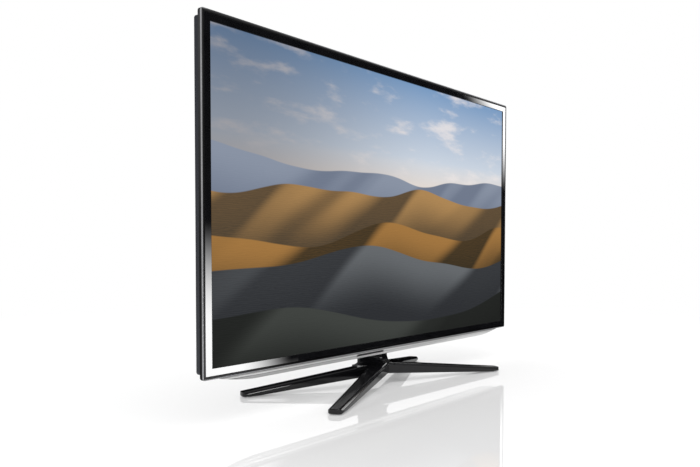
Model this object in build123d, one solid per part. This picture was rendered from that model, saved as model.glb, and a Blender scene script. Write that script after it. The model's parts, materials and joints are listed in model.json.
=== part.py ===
from build123d import *
import os
from math import atan2, cos, degrees, floor, hypot, pi, radians, sin

# Flat screen tv on a four-legged swivel stand, in millimetres.
# Origin on the surface under the middle of the stand.
# +X is to the right of a viewer who faces the screen, +Y runs away from the viewer, +Z is up.

os.makedirs("parts", exist_ok=True)

# Fits and cuts
SEAT_GAP = 0.3       # between pieces that rest close together
RUN_GAP = 0.05       # radial clearance of a running fit
OVERRUN = 5.0        # how far a cut runs past the face it opens

# Picture and front frame
PICTURE_W = 1018.1
PICTURE_H = 572.7
FRAME_BOTTOM = 82.15 # underside of the frame above the table
GLASS_Y = -27.0      # front face of the glass
BEZEL_PROUD = 3.3    # how far the bezel stands out in front of the glass
BEZEL_SIDE = 13.9    # gloss face beside the picture
BEZEL_TOP = 12.5     # gloss face above and below the picture
EDGE_BACKED = 3.0    # clear edge with black bezel behind it
EDGE_CLEAR = 3.0     # clear edge that stands free
EDGE_PLATE = 2.0     # thickness of the clear edge in front of the bezel
EDGE_DEPTH = 8.3     # depth of the clear edge on the side of the set
CORNER_R = 5.0
BEZEL_FLANGE = 6.3   # depth of the bezel behind the clear edge
SKIRT_WALL = 2.0
SKIRT_DEPTH = 17.3   # depth of the bezel's skirt behind its face

# Layers behind the glass
CELL_T = 1.6
CELL_MARGIN = 5.0    # glass beyond the picture on every side
LEDGE_T = 0.8
LEDGE_MARGIN = 1.5   # ledge of the mould frame, out from the picture
FILM_T = 0.35
GUIDE_T = 3.0
GUIDE_MARGIN = 2.0   # light guide and films beyond the picture
REFLECTOR_T = 0.3
LED_T = 1.0
LED_W = 3.0
LED_PITCH = 8.0
LED_LEN = 5.6
LED_GAP = 0.3        # between the light guide's edge and the leds
LED_BOARD_T = 1.0
SPREADER_T = 0.7
CHASSIS_T = 1.0
CHASSIS_FLANGE = 5.0
RIB_W = 12.0
RIB_H = 2.4
RIB_Z_SHARES = (0.24, 0.5, 0.76)     # of the chassis height

# Rear cover
COVER_INSET = 6.5    # cover's side, in from the outer edge of the set
COVER_WALL = 2.2
COVER_FRONT = 13.3   # front edge of the cover, behind the bezel's face
RIM_DEPTH = 25.3     # back of the thin rim, behind the bezel's face
COVER_CORNER = 6.0
HUMP_BESIDE = 115.0  # foot of the thick part, out from the wall-mount holes
HUMP_UP = 43.85      # thick part starts this far above the frame's underside
HUMP_OVER = 35.0     # and ends this far above the wall-mount holes
HUMP_DEPTH = 24.7    # thick part stands this far out from the rim
HUMP_TAPER = 28.0    # degrees, slope of its sides
HUMP_CORNER = 26.0
NOTCH_X = 52.0       # half width of the notch for the stand's neck
NOTCH_UP = 93.85     # top of the notch above the frame's underside
VENT_W = 2.6
VENT_LEN = 26.0
VENT_PITCH = 7.0
VENT_ROWS_DOWN = (62.0, 122.0)       # below the top of the thick part
VENT_HALF_SPAN = 150.0
SPEAKER_SLOT_W = 2.4
SPEAKER_SLOT_LEN = 6.0
SPEAKER_SLOT_PITCH = 6.0

# Wall mount
VESA_W = 400.0       # wall-mount holes, centre to centre across
VESA_STEP = 100.0    # the pattern's height goes in steps
VESA_SHARE = 0.7     # most of the picture's height that the pattern may take
VESA_HOLE_R = 4.0
VESA_POST_R = 9.0
VESA_DEPTH = 24.0    # depth of the threaded hole
VESA_SUNK = 0.5      # post's end below the cover's back

# Cover screws
SCREW_R = 1.6
SCREW_HEAD_R = 3.4
SCREW_HEAD_T = 1.8
SCREW_LEN = 10.0
POST_R = 4.2
RIM_SCREW_CORNER = 28.45     # outer screws of the top and bottom rows, in from the side rows
RIM_SCREW_ROW_SHARES = (0.5, 1.0)
RIM_SCREW_RISE_SHARE = 0.45  # of the frame's half height, from its middle
RIM_SCREW_EDGE = 24.0   # screw rows in from the cover's sides

# Boards
BOARD_T = 1.6
BOARD_LIFT = 6.0
BOARD_HOLE = 6.0     # screw position in from the board's corners
BOSS_R = 3.4
BOARD_SCREW_LEN = 5.0
POWER_BOARD = (53.0, 263.0, 85.0, 275.0)       # x0, x1 from the thick part's left foot, then z0, z1
MAIN_BOARD = (-230.0, -8.0, 27.0, 257.0)       # x0, x1 from the side bay's wall
TIMING_BOARD_Z = (27.0, 81.0)                  # all z from the lower wall-mount holes
TIMING_BAY_GAP = 34.0          # from the mains inlet's bay to the timing board
TIMING_MAIN_GAP = 32.0         # from the timing board to the main board
SOURCE_BOARD_H = 10.0
SOURCE_BOARD_X0 = 24.0
SOURCE_BOARD_IN = 44.05  # outer end, in from the chassis' side
SOURCE_BOARD_UP = 1.8   # above the chassis' lower edge
SOURCE_BOARD_T = 1.2

# Parts on the power board
CAPACITOR_R = 9.0
CAPACITOR_H = 25.0
CAPACITOR_PITCH = 24.0
CAPACITOR_COUNT = 3
TRANSFORMER = (38.0, 17.0, 30.0)     # x, y, z size
TRANSFORMER_PITCH = 62.0
SINK_T = 2.0
SINK_H = 20.0
SINK_LEN = 70.0
SINK_PITCH = 30.0

# Parts on the main board
PROCESSOR_SINK = 46.0
SINK_BASE_T = 2.5
SINK_FIN_T = 1.6
SINK_FIN_H = 9.0
SINK_FIN_COUNT = 8
TUNER = (40.0, 11.0, 26.0)
SHIELD_T = 0.8

# Side bay with the sockets that face sideways
BAY_IN = 19.0        # wall that the sockets show in, in from the thick part's foot
BAY_LEN = 92.0
BAY_LOW = 39.0       # lower and upper end, above the lower wall-mount holes
BAY_HIGH = 237.0
BAY_DEPTH = 9.5      # trough below the rim's back
SOCKET_SUNK = 0.6    # socket mouths behind the bay wall's face
HDMI = (15.4, 6.2, 12.5)       # width, height, depth
HDMI_PITCH = 27.0
HDMI_COUNT = 3
HDMI_MOUTH = (14.0, 4.5)
HDMI_TONGUE = (11.8, 1.3)
USB = (14.2, 6.9, 15.0)
USB_PITCH = 24.0
USB_COUNT = 2
USB_MOUTH = (12.6, 5.2)
USB_TONGUE = (11.2, 1.8)
MOUTH_DEPTH = 9.0
SIDE_SOCKET_START = 14.0       # first socket above the bay's lower end
CARD_SLOT = (58.0, 8.0, 58.0)
CARD_MOUTH = (55.0, 3.6)

# Lower bay with the sockets that face down
DOWN_BAY_IN = (236.0, 120.0)   # its two sides, in from the side bay's wall
DOWN_BAY_UP = 19.0             # wall that the sockets show in, above the lower wall-mount holes
BAY_RUNOUT = 4.0               # bays run past the thick part's lower edge
LAN = (16.0, 13.4, 18.0)
LAN_MOUTH = (11.8, 7.2)
LAN_MOUTH_DEPTH = 14.0
LAN_IN = 212.0
OPTICAL = (10.0, 10.0, 12.0)
OPTICAL_IN = 188.0
OPTICAL_RECESS = (7.4, 7.4)
OPTICAL_RECESS_DEPTH = 2.4
JACK = (11.0, 10.0, 14.0)
JACK_R = 1.8
JACK_DEPTH = 12.0
JACK_IN = (168.0, 150.0)
AERIAL_IN = 131.5
AERIAL_CAN = (18.0, 14.0, 16.0)
AERIAL_R = 4.76
AERIAL_LEN = 9.0
AERIAL_BORE_R = 1.0

# Mains inlet and its bay, beside the power board
INLET_IN = 175.0               # in from the thick part's left foot
INLET_BAY_HALF = 26.0
INLET_BAY_UP = 75.0            # wall that it shows in, above the lower wall-mount holes
INLET = (24.0, 15.0, 22.0)
INLET_MOUTH = (16.0, 8.2)
INLET_MOUTH_DEPTH = 13.0
INLET_PIN_R = 1.2
INLET_PIN_SPACING = 8.6
INLET_PIN_LEN = 11.0

# Speakers
SPEAKER_IN = 44.95   # outer end, in from the frame's side
SPEAKER_LEN = 162.0
SPEAKER_UP = 37.85   # above the frame's underside
SPEAKER_H = 43.0
SPEAKER_T = 11.0
SPEAKER_LIFT = 0.3
SPEAKER_WALL = 1.6
DRIVER_HALF = 24.0
DRIVER_IN = 81.0     # its middle, in from the speaker's outer end
DRIVER_T = 6.0
DRIVER_DEPTH = 12.0
SPEAKER_CORNER = 3.0

# Wireless module
RADIO = (44.0, 22.0)
RADIO_IN = 98.95     # its middle, in from the frame's side
RADIO_DROP = 35.5    # its middle, below the lowest rib
RADIO_CAN = (26.0, 3.0, 16.0)

# Lip below the frame
LIP_IN = 44.95       # ends, in from the frame's sides
LIP_END_LEN = 80.0   # length of each curved end
LIP_H = 12.6
LIP_END_H = 3.2
LIP_Y0 = -28.4
LIP_Y1 = -17.6
LIP_CROWN = 2.4      # how far the lip's lower part steps back
LIP_BAND = 5.2       # height of the lip's upper band
EYE_X0 = -122.0
EYE_X1 = -30.0
EYE_H = 4.4
EYE_T = 1.5
EYE_DROP = 4.9       # eye window's middle below the frame
EYE_BOARD = (60.0, 1.2, 8.0)

# Stand
LEG_TIP_X = 307.0
LEG_TIP_Y = 124.0
TIP_W = 30.0
ROOT_W = 39.0
TIP_TOP = 10.5
ROOT_TOP = 47.5      # leg top carried in to the middle
FOOT_LEN = 34.0      # flat part under the tip
TIP_CLEAR = 1.5
HUB_UNDER = 23.0
LEG_CHAMFER = 5.0
LEG_CHAMFER_H = 4.0
LEG_UNDER_CHAMFER = 2.5
TIP_ROUND = 11.0
NECK_FRONT_HALF = 9.5
NECK_FRONT_Y = -8.0
NECK_BACK_HALF = 38.0
NECK_SHOULDER_Y = 30.0
NECK_BACK_Y = 39.0
NECK_TOP = 66.0
NECK_FLARE_R = 20.0
FLARE_STEPS = 6
FLARE_SINK = 4.6     # flare's lower edge below the legs' tops at the middle
PAD_R = 8.0
PAD_T = 2.5
PAD_IN = 17.0        # pad's middle in from the leg's end

# Swivel
SWIVEL_Y = 18.0
SWIVEL_LIMIT = 20.0  # degrees each way
SWIVEL_POCKET_R = 19.0
SWIVEL_POCKET = 6.0
SWIVEL_PLATE_R = 18.0
SWIVEL_PLATE_T = 3.0
WASHER_T = 1.0
SWIVEL_PIN_R = 6.0
PIN_HEAD_R = 9.5
PIN_HEAD_T = 2.6
NUT_R = 9.5
NUT_T = 7.0
HUB_POCKET_R = 14.0
HUB_POCKET_TOP = 38.0
PIN_BELOW_NUT = 3.0
STUD_R = 1.6
STUD_AT = 14.0       # stop stud out from the swivel axis
STUD_TURN_SHARE = 0.25   # of a turn from +X
PLATE_SCREW_COUNT = 3
PLATE_SCREW_AT = 14.0
PLATE_SCREW_R = 1.5
PLATE_SCREW_LEN = 12.0
BRACKET_T = 3.0
BRACKET_HALF = 26.0
BRACKET_UP = 63.85   # top of the bracket above the frame's underside
BRACKET_HOLE_GAP = 1.5
BRACKET_SCREW_X = 15.0
BRACKET_SCREW_UP = (21.85, 51.85)    # above the frame's underside
BRACKET_SCREW_R = 2.0
BRACKET_SCREW_HEAD_R = 4.0
BRACKET_SCREW_HEAD_T = 2.4
BRACKET_SCREW_LEN = 16.0
SHROUD_WAIST_HALF = 34.0   # half width of its front where the screen's back starts
SHROUD_WAIST_SHOULDER = 22.0
SHROUD_WAIST_BACK = 36.0
SHROUD_UP = 73.85    # top of the shroud above the frame's underside
SHROUD_TOP_HALF = 33.0
SHROUD_TOP_SHOULDER = 8.0
SHROUD_TOP_BACK = 18.0
SHROUD_WALL = 2.0
SHROUD_GAP = 0.6
BOTTOM_COVER_R = 19.0
BOTTOM_COVER_T = 2.0
BOTTOM_SCREW_COUNT = 4
BOTTOM_SCREW_TURN_SHARE = 0.125
BOTTOM_SCREW_AT = 16.5
BOTTOM_SCREW_R = 1.2
BOTTOM_SCREW_LEN = 8.0
BOTTOM_SCREW_HEAD_R = 2.2
BOTTOM_SCREW_HEAD_T = 1.2

# Control stick at the back of the rim
STICK_IN = 58.95     # in from the frame's side
STICK_UP = 53.85     # above the frame's underside
STICK_BLOCK = 32.0
STICK_BLOCK_T = 9.0
STICK_BLOCK_R = 6.0
STICK_BORE_R = 9.5
GIMBAL_R = 8.6
GIMBAL_BORE_R = 6.6
GIMBAL_T = 2.4
TRUNNION_R = 0.8
TRUNNION_LEN = 2.6
STEM_R = 6.0
STEM_TUBE_R = 3.4
STEM_TUBE_H = 3.6
STICK_PIN_R = 1.9
STICK_CAP_R = 6.4
STICK_CAP_T = 4.0
STICK_CAP_GAP = 1.1
STICK_PIVOT_UP = 4.6   # gimbal's middle behind the rim's back

# Ribbon and harnesses inside
RIBBON_W = 30.0
RIBBON_T = 0.4
HARNESS_R = 2.2
HARNESS_BEND = 8.0
HARNESS_ROUND_SHARE = 0.45     # of the bend, rounded at each corner

# Places worked out from the sizes above
front_y = GLASS_Y - BEZEL_PROUD
side_border = BEZEL_SIDE + EDGE_BACKED + EDGE_CLEAR
top_border = BEZEL_TOP + EDGE_BACKED + EDGE_CLEAR
frame_x = PICTURE_W / 2 + side_border
frame_z = PICTURE_H / 2 + top_border
picture_z = FRAME_BOTTOM + frame_z
cell_x = PICTURE_W / 2 + CELL_MARGIN
cell_z = PICTURE_H / 2 + CELL_MARGIN
cell_back = GLASS_Y + CELL_T
ledge_back = cell_back + LEDGE_T
guide_x = PICTURE_W / 2 + GUIDE_MARGIN
guide_z = PICTURE_H / 2 + GUIDE_MARGIN
diffuser_y = ledge_back + FILM_T
guide_y = diffuser_y + FILM_T
reflector_y = guide_y + GUIDE_T
chassis_y = reflector_y + REFLECTOR_T
chassis_back = chassis_y + CHASSIS_T
skirt_inset = COVER_INSET + COVER_WALL + SEAT_GAP
mould_inset = skirt_inset + SKIRT_WALL + SEAT_GAP
rim_back = front_y + RIM_DEPTH
rim_inner = rim_back - COVER_WALL
hump_back = rim_back + HUMP_DEPTH
hump_inner = hump_back - COVER_WALL
vesa_h = VESA_STEP * floor(VESA_SHARE * PICTURE_H / VESA_STEP)
vesa_z = picture_z - vesa_h / 2
hump_x = VESA_W / 2 + HUMP_BESIDE
hump_z0 = FRAME_BOTTOM + HUMP_UP
hump_z1 = vesa_z + vesa_h + HUMP_OVER
notch_top = FRAME_BOTTOM + NOTCH_UP
board_y = chassis_back + BOARD_LIFT
board_back = board_y + BOARD_T
bay_floor = rim_back - BAY_DEPTH
bay_x = hump_x - BAY_IN
bay_z0 = vesa_z + BAY_LOW
bay_z1 = vesa_z + BAY_HIGH
down_bay_x0, down_bay_x1 = [bay_x - inset for inset in DOWN_BAY_IN]
down_bay_z = vesa_z + DOWN_BAY_UP
lan_x = bay_x - LAN_IN
optical_x = bay_x - OPTICAL_IN
jack_xs = [bay_x - inset for inset in JACK_IN]
aerial_x = bay_x - AERIAL_IN
inlet_x = INLET_IN - hump_x
inlet_bay_z = vesa_z + INLET_BAY_UP
bay_low = hump_z0 - BAY_RUNOUT
speaker_x1 = frame_x - SPEAKER_IN
speaker_x0 = speaker_x1 - SPEAKER_LEN
speaker_z0 = FRAME_BOTTOM + SPEAKER_UP
speaker_z1 = speaker_z0 + SPEAKER_H
radio_x = frame_x - RADIO_IN
rib_zs = [picture_z - cell_z + share * 2 * cell_z for share in RIB_Z_SHARES]
radio_z = rib_zs[0] - RADIO_DROP
source_board_x1 = cell_x - SOURCE_BOARD_IN
lip_half_top = frame_x - LIP_IN
lip_half_full = lip_half_top - LIP_END_LEN
stick_x = frame_x - STICK_IN
stick_z = FRAME_BOTTOM + STICK_UP
leg_run = hypot(LEG_TIP_X, LEG_TIP_Y)
pocket_floor = NECK_TOP - SWIVEL_POCKET
washer_z = pocket_floor + SWIVEL_PLATE_T
upper_plate_z = washer_z + WASHER_T
upper_plate_top = upper_plate_z + SWIVEL_PLATE_T
bracket_flange_top = upper_plate_top + BRACKET_T
bracket_y = rim_back + SEAT_GAP
bracket_top = FRAME_BOTTOM + BRACKET_UP
shroud_top = FRAME_BOTTOM + SHROUD_UP


def placed(board, start):
    """Corners of a board given from an upright line and from the lower wall-mount holes."""
    x0, x1, z0, z1 = board
    return (start + x0, start + x1, vesa_z + z0, vesa_z + z1)


power_place = placed(POWER_BOARD, -hump_x)
main_place = placed(MAIN_BOARD, bay_x)
timing_place = placed((inlet_x + INLET_BAY_HALF + TIMING_BAY_GAP, main_place[0] - TIMING_MAIN_GAP,
                       *TIMING_BOARD_Z), 0)


def block(x0, x1, y0, y1, z0, z1):
    """Block between two corners."""
    middle = Pos((x0 + x1) / 2, (y0 + y1) / 2, (z0 + z1) / 2)
    return middle * Box(x1 - x0, y1 - y0, z1 - z0)


def rod_x(radius, x0, x1, y, z):
    """Round bar along X."""
    return Pos((x0 + x1) / 2, y, z) * Rot(0, 90, 0) * Cylinder(radius, x1 - x0)


def rod_y(radius, y0, y1, x, z):
    """Round bar along Y."""
    return Pos(x, (y0 + y1) / 2, z) * Rot(90, 0, 0) * Cylinder(radius, y1 - y0)


def rod_z(radius, z0, z1, x, y):
    """Round bar along Z."""
    return Pos(x, y, (z0 + z1) / 2) * Cylinder(radius, z1 - z0)


def facing(y):
    """Upright plane at depth y, with X across and Z up."""
    return Plane(origin=(0, y, 0), x_dir=(1, 0, 0), z_dir=(0, -1, 0))


def plate(shape, y0, y1):
    """Upright plate of the given outline from depth y0 back to y1."""
    return extrude(facing(y0) * shape, amount=y0 - y1)


def panel(half_x, half_z, radius=0):
    """Outline centred on the picture."""
    if radius > 0:
        shape = RectangleRounded(2 * half_x, 2 * half_z, radius)
    else:
        shape = Rectangle(2 * half_x, 2 * half_z)
    return Pos(0, picture_z) * shape


def inset_panel(inset, radius=0):
    """Outline of the set drawn in from its outer edge."""
    return panel(frame_x - inset, frame_z - inset, radius)


def outline(x0, x1, z0, z1, radius=0):
    """Rectangle between two corners, seen from the front."""
    if radius > 0:
        shape = RectangleRounded(x1 - x0, z1 - z0, radius)
    else:
        shape = Rectangle(x1 - x0, z1 - z0)
    return Pos((x0 + x1) / 2, (z0 + z1) / 2) * shape


def group(solids):
    """Several separate solids in one node."""
    return Compound(children=list(solids))


def save(name, shape):
    """Write one node."""
    export_step(shape, "parts/" + name + ".step")


def front_bezel():
    """Gloss frame with the flange behind the clear edge and the skirt inside the cover."""
    face_back = GLASS_Y - SEAT_GAP
    plate_back = front_y + EDGE_PLATE
    opening = panel(PICTURE_W / 2, PICTURE_H / 2)
    face = plate(inset_panel(EDGE_CLEAR + EDGE_BACKED) - opening, front_y, face_back)
    flange_shape = inset_panel(EDGE_CLEAR, CORNER_R - EDGE_CLEAR)
    flange = plate(flange_shape - inset_panel(skirt_inset + SKIRT_WALL),
                   plate_back, plate_back + BEZEL_FLANGE)
    bridge = plate(inset_panel(EDGE_CLEAR + EDGE_BACKED) - opening, plate_back, face_back)
    skirt_corner = COVER_CORNER - COVER_WALL - SEAT_GAP
    skirt = plate(inset_panel(skirt_inset, skirt_corner) - inset_panel(skirt_inset + SKIRT_WALL),
                  plate_back, front_y + SKIRT_DEPTH)
    return face + bridge + flange + skirt


def clear_edge():
    """Clear ring round the bezel: a plate over the bezel's flange and a free lip outside it."""
    plate_back = front_y + EDGE_PLATE
    outer = inset_panel(0, CORNER_R)
    front = plate(outer - inset_panel(EDGE_CLEAR + EDGE_BACKED), front_y, plate_back)
    lip = plate(outer - inset_panel(EDGE_CLEAR, CORNER_R - EDGE_CLEAR),
                plate_back, front_y + EDGE_DEPTH)
    return front + lip


def layer(half_x, half_z, y, thickness):
    """Flat sheet behind the glass."""
    return plate(panel(half_x, half_z), y, y + thickness)


def mould_frame():
    """Plastic frame with a wall round the cell and a ledge that the cell rests on."""
    wall_inner = panel(cell_x + SEAT_GAP, cell_z + SEAT_GAP)
    ledge_inner = panel(PICTURE_W / 2 + LEDGE_MARGIN, PICTURE_H / 2 + LEDGE_MARGIN)
    wall = plate(inset_panel(mould_inset) - wall_inner, GLASS_Y, chassis_back)
    ledge = plate(inset_panel(mould_inset) - ledge_inner, cell_back, ledge_back)
    return wall + ledge


def led_bar(side):
    """Long thin board of one row of leds, above (1) or below (-1) the light guide."""
    near = guide_z + LED_GAP + LED_T
    z0, z1 = sorted((picture_z + side * near, picture_z + side * (near + LED_BOARD_T)))
    return block(-guide_x, guide_x, ledge_back, chassis_y, z0, z1)


def led_row(side):
    """Led packages along one bar, aimed at the light guide's edge."""
    near = guide_z + LED_GAP
    z0, z1 = sorted((picture_z + side * near, picture_z + side * (near + LED_T)))
    middle_y = (ledge_back + chassis_y) / 2
    count = int(2 * guide_x / (2 * LED_PITCH + LED_LEN))
    pitch = 2 * (guide_x - LED_PITCH) / (count - 1)
    leds = []
    for i in range(count):
        x = -guide_x + LED_PITCH + i * pitch
        leds.append(block(x - LED_LEN / 2, x + LED_LEN / 2,
                          middle_y - LED_W / 2, middle_y + LED_W / 2, z0, z1))
    return leds


def led_spreader(side):
    """Aluminium strip outside one led bar."""
    near = guide_z + LED_GAP + LED_T + LED_BOARD_T
    z0, z1 = sorted((picture_z + side * near, picture_z + side * (near + SPREADER_T)))
    return block(-guide_x, guide_x, ledge_back, chassis_y, z0, z1)


def board_corners(board):
    """Screw places of a board, in from its corners."""
    x0, x1, z0, z1 = board
    return [(x, z) for x in (x0 + BOARD_HOLE, x1 - BOARD_HOLE)
            for z in (z0 + BOARD_HOLE, z1 - BOARD_HOLE)]


def rim_screw_places():
    """Screw places round the thin rim of the rear cover."""
    half_x = frame_x - COVER_INSET - RIM_SCREW_EDGE
    low = FRAME_BOTTOM + COVER_INSET + RIM_SCREW_EDGE
    high = picture_z + frame_z - COVER_INSET - RIM_SCREW_EDGE
    reach = half_x - RIM_SCREW_CORNER
    rise = RIM_SCREW_RISE_SHARE * frame_z
    places = [(side * share * reach, z) for side in (-1, 1)
              for share in RIM_SCREW_ROW_SHARES for z in (low, high)]
    places += [(side * half_x, z) for side in (-1, 1)
               for z in (picture_z - rise, picture_z, picture_z + rise)]
    return places


def vesa_places():
    """Middles of the four wall-mount holes."""
    return [(side * VESA_W / 2, z) for side in (-1, 1) for z in (vesa_z, vesa_z + vesa_h)]


def bracket_screw_places():
    """Screws that hold the panel to the stand's bracket."""
    return [(sx * BRACKET_SCREW_X, FRAME_BOTTOM + up)
            for sx in (-1, 1) for up in BRACKET_SCREW_UP]


def chassis():
    """Steel pan with ribs, and the posts riveted to it."""
    pan = plate(panel(cell_x, cell_z), chassis_y, chassis_back)
    rim = panel(cell_x, cell_z) - panel(cell_x - CHASSIS_T, cell_z - CHASSIS_T)
    pan += plate(rim, chassis_back, chassis_back + CHASSIS_FLANGE)
    half = cell_x - CHASSIS_T
    for z in rib_zs:
        pan += block(-half, half, chassis_back, chassis_back + RIB_H, z - RIB_W / 2, z + RIB_W / 2)
    posts = chassis_posts()
    holes = [hole for post, hole in posts]
    return [pan.cut(*holes)] + [post - hole - pan for post, hole in posts]


def chassis_posts():
    """Each post for a board, a cover screw or a bracket screw, with its hole."""
    posts = []
    for place in (power_place, main_place, timing_place):
        for x, z in board_corners(place):
            posts.append((rod_y(BOSS_R, chassis_back, board_y, x, z),
                          rod_y(SCREW_R, board_y - BOARD_SCREW_LEN, board_y + OVERRUN, x, z)))
    for x, z in rim_screw_places():
        posts.append((rod_y(POST_R, chassis_back, rim_inner, x, z),
                      rod_y(SCREW_R + RUN_GAP, rim_back - SCREW_LEN - SEAT_GAP, rim_back + OVERRUN, x, z)))
    hole_start = bracket_y + BRACKET_T - BRACKET_SCREW_LEN - SEAT_GAP
    for x, z in bracket_screw_places():
        posts.append((rod_y(2 * POST_R - SCREW_R, chassis_back, rim_inner, x, z),
                      rod_y(BRACKET_SCREW_R + RUN_GAP, hole_start, rim_back + OVERRUN, x, z)))
    return posts


def hump(grow, depth_back):
    """Thick part of the cover: a tapered block with a notch for the neck."""
    x = hump_x - grow
    body = outline(-x, x, hump_z0 + grow, hump_z1 - grow, HUMP_CORNER - grow)
    start = rim_back - COVER_WALL
    tapered = extrude(facing(start) * body, amount=start - depth_back, taper=HUMP_TAPER)
    return tapered - notch(grow)


def notch(grow):
    """Space for the neck under the thick part of the cover."""
    top = notch_top + grow
    return block(-NOTCH_X - grow, NOTCH_X + grow, rim_back - COVER_WALL - OVERRUN,
                 hump_back + OVERRUN, hump_z0 - OVERRUN, top)


def bays(grow):
    """Troughs in front of the sockets, with walls drawn out by grow."""
    floor = bay_floor - grow
    back = hump_back + OVERRUN
    side = block(bay_x - grow, bay_x + BAY_LEN + grow, floor, back, bay_z0 - grow, bay_z1 + grow)
    down = block(down_bay_x0 - grow, down_bay_x1 + grow, floor, back,
                 bay_low - grow, down_bay_z + grow)
    inlet = block(inlet_x - INLET_BAY_HALF - grow, inlet_x + INLET_BAY_HALF + grow, floor, back,
                  bay_low - grow, inlet_bay_z + grow)
    return side + down + inlet


def vent_slots():
    """Rows of slots in the upper back of the thick part."""
    slots = []
    count = int(2 * VENT_HALF_SPAN / VENT_PITCH) + 1
    for drop in VENT_ROWS_DOWN:
        z = hump_z1 - drop
        for i in range(count):
            x = -VENT_HALF_SPAN + i * VENT_PITCH
            slots.append(block(x - VENT_W / 2, x + VENT_W / 2, hump_inner - OVERRUN,
                               hump_back + OVERRUN, z - VENT_LEN / 2, z + VENT_LEN / 2))
    return slots


def speaker_slots():
    """Slots in the cover's lower wall under each speaker."""
    slots = []
    low = FRAME_BOTTOM + COVER_INSET
    count = int((speaker_x1 - speaker_x0) / SPEAKER_SLOT_PITCH)
    for side in (-1, 1):
        for i in range(1, count):
            x = side * (speaker_x0 + i * SPEAKER_SLOT_PITCH)
            slots.append(block(x - SPEAKER_SLOT_W / 2, x + SPEAKER_SLOT_W / 2,
                               rim_inner - SPEAKER_SLOT_LEN, rim_inner,
                               low - OVERRUN, low + COVER_WALL + OVERRUN / 2))
    return slots


def socket_windows():
    """Holes in the bay walls where the sockets show."""
    holes = []
    for z in side_socket_middles(HDMI, HDMI_PITCH, HDMI_COUNT, SIDE_SOCKET_START):
        holes.append(side_window(HDMI, z))
    for z in side_socket_middles(USB, USB_PITCH, USB_COUNT, usb_start()):
        holes.append(side_window(USB, z))
    holes.append(side_window(CARD_SLOT, card_middle()))
    for x, size in down_sockets():
        holes.append(down_window(x, size, down_bay_z, board_back + size[1] / 2))
    holes.append(down_window(inlet_x, INLET, inlet_bay_z, inlet_y()))
    return holes


def side_window(size, z):
    """Hole for one socket in the side bay's wall."""
    y0 = board_back - SEAT_GAP
    y1 = board_back + size[1] + SEAT_GAP
    half = size[0] / 2 + SEAT_GAP
    return block(bay_x - COVER_WALL - OVERRUN / 2, bay_x + OVERRUN / 2, y0, y1, z - half, z + half)


def down_window(x, size, wall_z, y):
    """Hole for one socket in a bay wall that faces down."""
    half = size[0] / 2 + SEAT_GAP
    high = size[1] / 2 + SEAT_GAP
    return block(x - half, x + half, y - high, y + high,
                 wall_z - OVERRUN / 2, wall_z + COVER_WALL + OVERRUN / 2)


def cover_outside():
    """Outer form of the cover, without its bays."""
    return plate(inset_panel(COVER_INSET, COVER_CORNER), front_y + COVER_FRONT, rim_back) + hump(0, hump_back)


def rear_cover():
    """Thin shell with a thick middle, cut-outs for the bays, notch, vents and screw holes."""
    inner = plate(inset_panel(COVER_INSET + COVER_WALL, COVER_CORNER - COVER_WALL),
                  front_y + COVER_FRONT, rim_inner)
    inner = inner + hump(COVER_WALL, hump_inner)
    cover = cover_outside() - inner - bays(COVER_WALL)
    cutters = vent_slots() + speaker_slots()
    cutters += [rod_y(SCREW_R + SEAT_GAP, rim_inner - OVERRUN, rim_back + OVERRUN, x, z)
                for x, z in rim_screw_places()]
    cutters += [rod_y(BRACKET_SCREW_R + SEAT_GAP, rim_inner - OVERRUN, rim_back + OVERRUN, x, z)
                for x, z in bracket_screw_places()]
    cutters += [rod_y(VESA_POST_R + SEAT_GAP, hump_inner - OVERRUN, hump_back + OVERRUN, x, z)
                for x, z in vesa_places()]
    return cover.cut(*cutters)


def connector_bays():
    """The troughs' walls, moulded apart and set in the cover's cut-outs."""
    walls = (bays(COVER_WALL) - bays(0)) & cover_outside()
    return walls.cut(*socket_windows()).solids()


def screw_y(radius, head_r, head_t, length, x, y, z):
    """Screw driven towards the front, with its head's underside at depth y."""
    return rod_y(radius, y - length, y, x, z) + rod_y(head_r, y, y + head_t, x, z)


def vesa_posts():
    """Threaded steel posts from the chassis to the cover's back."""
    posts = []
    end = hump_back - VESA_SUNK
    for x, z in vesa_places():
        post = rod_y(VESA_POST_R, chassis_back, end, x, z)
        posts.append(post - rod_y(VESA_HOLE_R, end - VESA_DEPTH, end + OVERRUN, x, z))
    return posts


def board(place, thickness=BOARD_T, y=board_y, holes=True):
    """Circuit board with its corner holes."""
    x0, x1, z0, z1 = place
    card = block(x0, x1, y, y + thickness, z0, z1)
    if holes:
        for x, z in board_corners(place):
            card -= rod_y(SCREW_R + SEAT_GAP, y - OVERRUN, y + thickness + OVERRUN, x, z)
    return card


def board_screws():
    """Screws of the three boards."""
    screws = []
    for place in (power_place, main_place, timing_place):
        for x, z in board_corners(place):
            screws.append(screw_y(SCREW_R - RUN_GAP, SCREW_HEAD_R, SCREW_HEAD_T,
                                  BOARD_SCREW_LEN, x, board_back, z))
    return screws


def power_capacitors():
    """Smoothing capacitors that lie on the power board."""
    x0, x1, z0, z1 = power_place
    cans = []
    for i in range(CAPACITOR_COUNT):
        z = z1 - CAPACITOR_PITCH * (i + 1)
        x = x1 - CAPACITOR_PITCH
        cans.append(rod_x(CAPACITOR_R, x - CAPACITOR_H, x, board_back + CAPACITOR_R, z))
    return cans


def power_transformers():
    """Two wound transformers on the power board."""
    x0, x1, z0, z1 = power_place
    wide, deep, high = TRANSFORMER
    cores = []
    for i in range(2):
        x = x0 + TRANSFORMER_PITCH / 2 + i * TRANSFORMER_PITCH
        z = (z0 + z1) / 2
        core = block(x - wide / 2, x + wide / 2, board_back, board_back + deep,
                     z - high / 2, z + high / 2)
        cores.append(fillet(core.edges().filter_by(Axis.Y), SKIRT_WALL))
    return cores


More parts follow.
